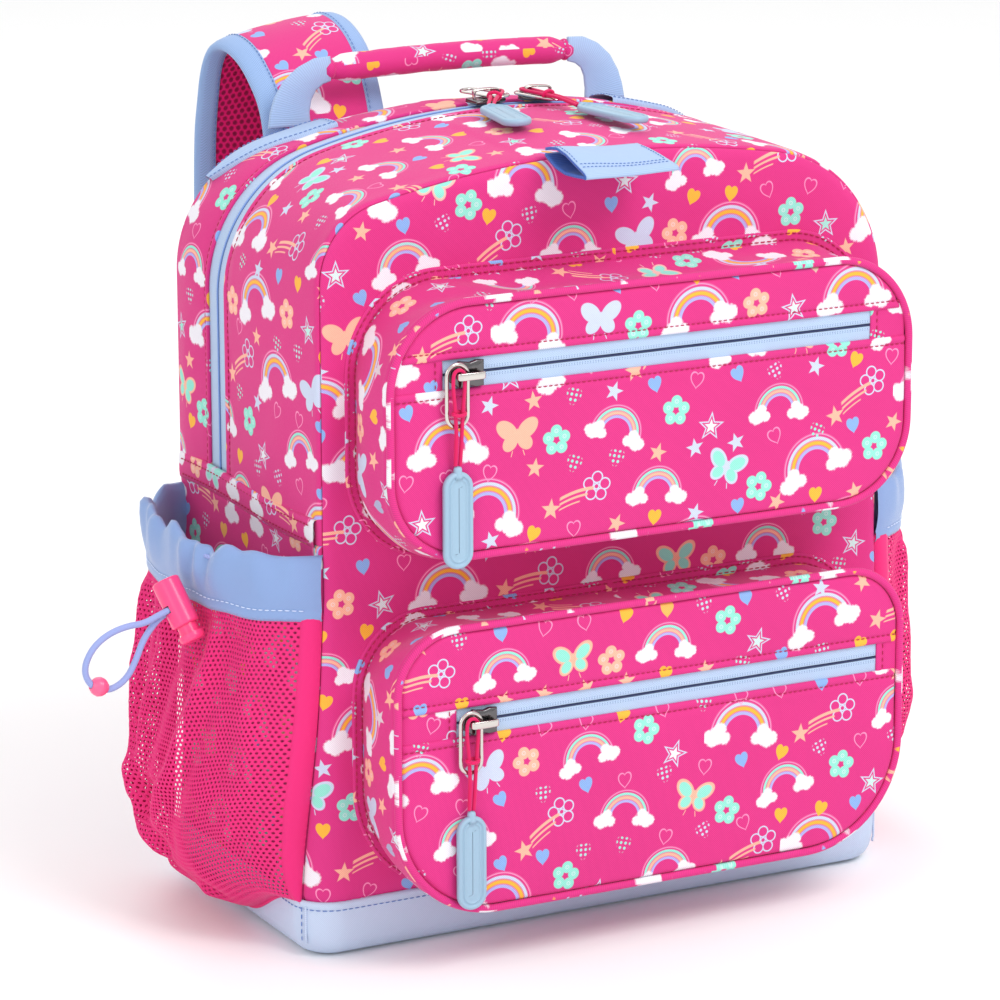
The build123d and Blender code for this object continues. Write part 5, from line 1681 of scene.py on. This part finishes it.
def back_yoke():
    plan = (0.0, 305.0, 216.0, 26.0, 4.0, 4.0)
    rows = []
    for inset, y in ((0.0, 76.8), (0.0, 78.2), (0.8, 78.7), (2.4, 78.5), (4.0, 78.8), (12.0, 78.8)):
        rows.append([(x, y, z) for x, z in rounded(plan, inset, 300)])
    rows.append([(x, 78.8, plan[1]) for x, _ in rounded(plan, 12.0, 300)])
    grid_piece("back_yoke_band", rows, [[(p[0], p[2]) for p in r + r[:1]] for r in rows], blue_twill,
               "bag", loop=True, replaces=("back_yoke",), flip=True)
    line = [(x, 78.75, z) for x, z in rounded(plan, 2.4, 300)]
    stitches("back_yoke_stitching", [(line, (0, 1, 0))], blue_thread, "bag",
             pitch=3.0, length_mm=2.1, radius=0.24)


# ---- zip sliders and pulls ----------------------------------------------------------------------
def local(origin, x_axis, y_axis, z_axis):
    """Maker of frame points from (x, y, z) in a plane given by its axes."""
    o, a, b, c = (np.asarray(v, float) for v in (origin, x_axis, y_axis, z_axis))
    return lambda x, y, z: o + a * x + b * y + c * z


def slider_body(name, origin, along, out_dir, body):
    z_axis, x_axis = unit(out_dir), unit(along)
    at = local(origin, x_axis, np.cross(z_axis, x_axis), z_axis)
    outline = [(8.5, 5.6), (5.0, 5.9), (2.0, 5.1), (-0.8, 5.5), (-3.2, 5.9), (-6.0, 4.0), (-8.3, 2.3),
               (-8.6, 0.0), (-8.3, -2.3), (-6.0, -4.0), (-3.2, -5.9), (-0.8, -5.5), (2.0, -5.1), (5.0, -5.9),
               (8.5, -5.6), (8.5, 0.0)]
    loop = resample(outline, 128, closed=True)
    rows = [[at(x * grow, y * grow, z) for x, y in loop]
            for grow, z in ((0.80, 0.45), (0.95, 0.45), (1.0, 0.75), (1.0, 1.9), (0.965, 2.35), (0.90, 2.6),
                            (0.55, 2.62), (0.02, 2.62))]
    # The plate takes the darkened nickel, part of its dark colour a painted reflection.
    grid_piece(f"{name}_slider_plate", rows, arc_uv(rows, loop=True), nickel, body, loop=True,
               replaces=(f"{name}_slider",), flip=True)
    # crown over the gap that the pull hooks through
    arc = rounded_line([(-5.0, 2.2), (-5.6, 4.6), (-5.4, 6.5), (-2.2, 6.8), (0.8, 6.85), (3.8, 6.8),
                        (6.9, 6.5), (7.1, 4.6), (6.5, 2.2)], 40)
    ahead = np.gradient(arc, axis=0)
    ahead /= np.linalg.norm(ahead, axis=1)[:, None]
    rows = []
    for k, (x, z) in enumerate(arc):
        nx, nz = -ahead[k][1], ahead[k][0]
        half = 1.15 + 0.45 * smooth((z - 4.6) / 1.6)
        ring = []
        for t in ring_angles(20):
            c, s = math.cos(t), math.sin(t)
            c, s = np.sign(c) * abs(c) ** 0.55, np.sign(s) * abs(s) ** 0.55
            ring.append(at(x + nx * 0.5 * s, half * c, z + nz * 0.5 * s))
        rows.append(ring)
    grid_piece(f"{name}_slider_crown", rows, arc_uv(rows, loop=True), bright_nickel, body,
               loop=True)


def pull_axes(normal, direction):
    n = unit(normal)
    x = unit(np.cross(n, direction))
    return x, np.cross(n, x), n


def long_loop(r, high, low, arc_count, count):
    """(x, y) round a slot shape with its end arcs centred at two heights."""
    points = [(r * math.cos(a), high + r * math.sin(a)) for a in np.linspace(0, math.pi, arc_count)]
    points += [(r * math.cos(a), low + r * math.sin(a)) for a in np.linspace(math.pi, 2 * math.pi, arc_count)]
    return resample(points, count, closed=True)


def pull(name, post, normal, direction, ring_direction, reach, end_height, tab_turn):
    body, tab_body = f"{name}_pull", f"{name}_tab"
    rx, ry, rn = pull_axes(normal, ring_direction)
    at = local(post, rx, ry, rn)
    middle = long_loop(5.0, 0.0, -17.0, 25, 120)
    outs = loop_normals(middle) * -1
    rows = []
    for t in np.linspace(0, 2 * math.pi, 13):
        c, s = math.cos(t), math.sin(t)
        rows.append([at(p[0] + n[0] * 0.95 * c, p[1] + n[1] * 0.95 * c, 3.45 + 0.68 * s)
                     for p, n in zip(middle, outs)])
    grid_piece(f"{name}_pull_ring_wire", rows, arc_uv(rows, loop=True), bright_nickel, body,
               loop=True, replaces=(f"{name}_pull_ring",))
    cx, cy, cn = pull_axes(normal, direction)
    at = local(post, cx, cy, cn)
    corner = 2.4 * math.sin(math.radians(tab_turn))
    half = [(1.1, -reach + 2.2 + corner, end_height + 0.1), (1.2, -0.8 * reach, 0.5 * end_height + 2.6),
            (1.3, -0.58 * reach, 5.1), (1.9, -0.32 * reach, 5.12), (2.9, -0.1 * reach, 5.1), (2.4, 2.9, 5.1)]
    route = [at(*p) for p in half + [(-x, y, z) for x, y, z in reversed(half)]]
    cord = cord_curve(f"{name}_pull_cord_strand", route, 0.85, pink_braid, body,
                      replaces=(f"{name}_pull_cord",))
    long = path_length(curve_line(cord)) * MM
    knot_y = -0.39 * reach
    wrap = [at(2.75 * math.cos(t), knot_y - 0.5 * math.sin(t), 5.1 + 1.75 * math.sin(t))
            for t in ring_angles(28)]
    knot = tube(f"{name}_pull_cord_knot", wrap, 0.85, pink_braid, body, loop=True, sides=10)
    tuple(route[0] * MM)
    # tab on the cord's end, turned in the plane of the fabric
    hinge = at(0, -reach, end_height)
    t = math.radians(tab_turn)
    tx, ty = cx * math.cos(t) + cy * math.sin(t), cy * math.cos(t) - cx * math.sin(t)
    tab_at = local(hinge, tx, ty, cn)

    section = ((6.9, -1.68), (1.4, -1.68), (0.6, -1.5), (0.1, -0.9), (0.0, 0.2), (0.15, 0.95), (0.6, 1.45),
               (1.2, 1.66), (1.75, 1.6), (2.0, 1.3), (2.15, 1.08), (2.6, 1.05), (2.8, 1.2), (3.05, 1.42),
               (3.35, 1.42), (3.6, 1.2), (3.8, 1.05), (4.6, 1.12), (6.9, 1.14))
    rows = [[tab_at(x, y, z) for x, y in long_loop(7.0 - inset, -7.5, -36.5, 21, 96)]
            for inset, z in section]
    grid_piece(f"{name}_pull_tab_body", rows, arc_uv(rows, loop=True), tab_rubber, tab_body,
               loop=True, replaces=(f"{name}_pull_tab",), flip=True)
    tube(f"{name}_pull_tab_neck", [tab_at(0, y, 0) for y in (1.7, 1.3, 0.4, -0.8, -2.0, -3.6)],
         [0.9, 1.6, 1.85, 1.9, 2.1, 2.4], tab_rubber, tab_body, sides=16)


def pulls():
    for name, x, z in (("upper", -94.0, 270.5), ("lower", -88.0, 115.5)):
        slider_body(name, (x, FACE_Y, z), (1, 0, 0), (0, -1, 0), f"{name}_slider")
        pull(name, (x - 5.0, FACE_Y, z), (0, -1, 0), (0, 0, -1), (0, 0, -1), 41.0, 3.6, 0)
    for name, x, along, direction, ring_direction, reach, turn in (
            ("main_left", -5.0, -1, (-0.55, -0.835, 0), (-0.26, 0.966, 0), 31.0, 24),
            ("main_right", 20.0, 1, (0.17, -0.985, 0), (0.34, -0.94, 0), 41.0, 0)):
        crown = ZIP_ARCH[4]
        angle = x / crown
        normal = (math.sin(angle), 0, math.cos(angle))
        origin = np.array((crown * math.sin(angle), ZIP_Y, ZIP_ARCH[1] - crown * (1 - math.cos(angle))))
        x_axis = np.array((along * math.cos(angle), 0, -along * math.sin(angle)))
        slider_body(name, origin, x_axis, normal, f"{name}_slider")
        n = np.asarray(normal)
        flat = [unit(np.asarray(d) - n * np.dot(d, n)) for d in (direction, ring_direction)]
        pull(name, origin - 5.0 * x_axis, normal, flat[0], flat[1], reach, 3.2, turn)


# ---- drawcord, its bead and lock ----------------------------------------------------------------
DRAWCORD = [(-186.04, -26.17, 157.58), (-194.78, -27.24, 155.70), (-203.5, -26.8, 151.5),
            (-213.0, -26.9, 151.5), (-222.5, -26.7, 148.5), (-229.5, -26.3, 142.5),
            (-233.0, -25.8, 133.5), (-229.0, -25.3, 125.5), (-220.5, -24.8, 122.5),
            (-212.0, -24.3, 126.5), (-207.0, -24.0, 135.0), (-203.5, -24.0, 144.0),
            (-194.78, -24.55, 154.16), (-186.04, -23.47, 156.05)]


def drawcord():
    cord = cord_curve("drawcord_loop_strand", DRAWCORD, 1.45, blue_braid, "bag",
                      replaces=("drawcord_loop",))
    r = 4.3
    half = [(-3.75, 1.55), (-4.0, 1.75), (-3.95, 2.2)]
    half += [(r * math.sin(a), r * math.cos(a)) for a in np.linspace(-1.0, 0.0, 9)[:-1]]
    half += [(-0.12, r), (0.0, r + 0.08), (0.12, r)]
    half += [(r * math.sin(a), r * math.cos(a)) for a in np.linspace(0.0, 1.0, 9)[1:]]
    half += [(3.95, 2.2), (4.0, 1.75), (3.75, 1.55)]
    bead = lathe("drawcord_bead_turned", half, (-225.5, -25.1, 125.3), (8.5, 0.5, -3.0), bead_plastic,
                 "bag", sides=40, replaces=("drawcord_bead",))
    long = path_length(curve_line(cord)) * MM


def dress_cad():
    """CAD nodes whose shape stays get their finish."""
    for node, mat in (("cord_lock_barrel", coral), ("cord_lock_plunger", coral),
                      ("cord_lock_spring", steel), ("ladder_locks", acetal), ("base_board", acetal),
                      ("back_foam", lining_cloth)):
        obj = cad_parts[node]
        for entry in obj.material_slots:
            entry.material = mat
    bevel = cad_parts["ladder_locks"].modifiers.new("soft_edges", "BEVEL")
    bevel.width = 0.5 * MM
    bevel.segments = 2
    bevel.limit_method = "ANGLE"


def main_zip_stitching():
    """Rows that hold the folds down beside the main zip's tape."""
    runs = []
    for y in (ZIP_Y - 12.2, ZIP_Y + 12.2):
        runs.append((lifted(y, 240, -0.05), [(n[0], 0, n[1]) for n in outward(arch_line(y, 240))]))
    stitches("main_zip_stitching", runs, pink_thread, "bag", pitch=3.0, length_mm=2.1,
             radius=0.26)


pulls()
drawcord()
for hand, tag in ((-1, "left"), (1, "right")):
    mesh_pocket(hand, tag)
    pocket_hem(hand, tag)
    wing_tab(hand, tag)
    handle_anchor(hand, tag)
    strap(hand, tag, PAD_LEFT if hand < 0 else PAD_RIGHT)
boot()
handle()
hang_loop()
back_panel()
back_yoke()
main_zip_stitching()
dress_cad()


# ---- floor and light ----------------------------------------------------------------------------
def area_light(name, location, target, size, power):
    data = bpy.data.lights.new(name, "AREA")
    data.shape = "SQUARE"
    data.size = size
    data.energy = power
    obj = bpy.data.objects.new(name, data)
    bpy.context.scene.collection.objects.link(obj)
    obj.location = location
    obj.rotation_euler = (Vector(location) - Vector(target)).to_track_quat("Z", "Y").to_euler()


def studio():
    mesh = bpy.data.meshes.new("floor")
    mesh.from_pydata([(-16, -16, 0), (16, -16, 0), (16, 16, 0), (-16, 16, 0)], [], [(0, 1, 2, 3)])
    floor = bpy.data.objects.new("floor", mesh)
    bpy.context.scene.collection.objects.link(floor)
    mat, tree, bsdf = shader("pale_floor", colour=(0.93, 0.93, 0.93, 1), roughness=0.6, specular=0.2)
    mesh.materials.append(mat)
    world = bpy.data.worlds.new("studio")
    world.use_nodes = True
    world.node_tree.nodes["Background"].inputs["Color"].default_value = (1, 1, 1, 1)
    world.node_tree.nodes["Background"].inputs["Strength"].default_value = 0.98
    bpy.context.scene.world = world
    area_light("key", (0.5, -1.5, 1.9), (0, 0, 0.2), 1.0, 26)
    area_light("fill", (-1.9, -1.0, 1.1), (0, 0, 0.18), 1.2, 7)
    area_light("back", (0.3, 1.7, 1.9), (0, 0, 0.2), 1.2, 7)
    bpy.context.scene.view_settings.view_transform = "Standard"
    bpy.context.scene.view_settings.exposure = 0.0


studio()
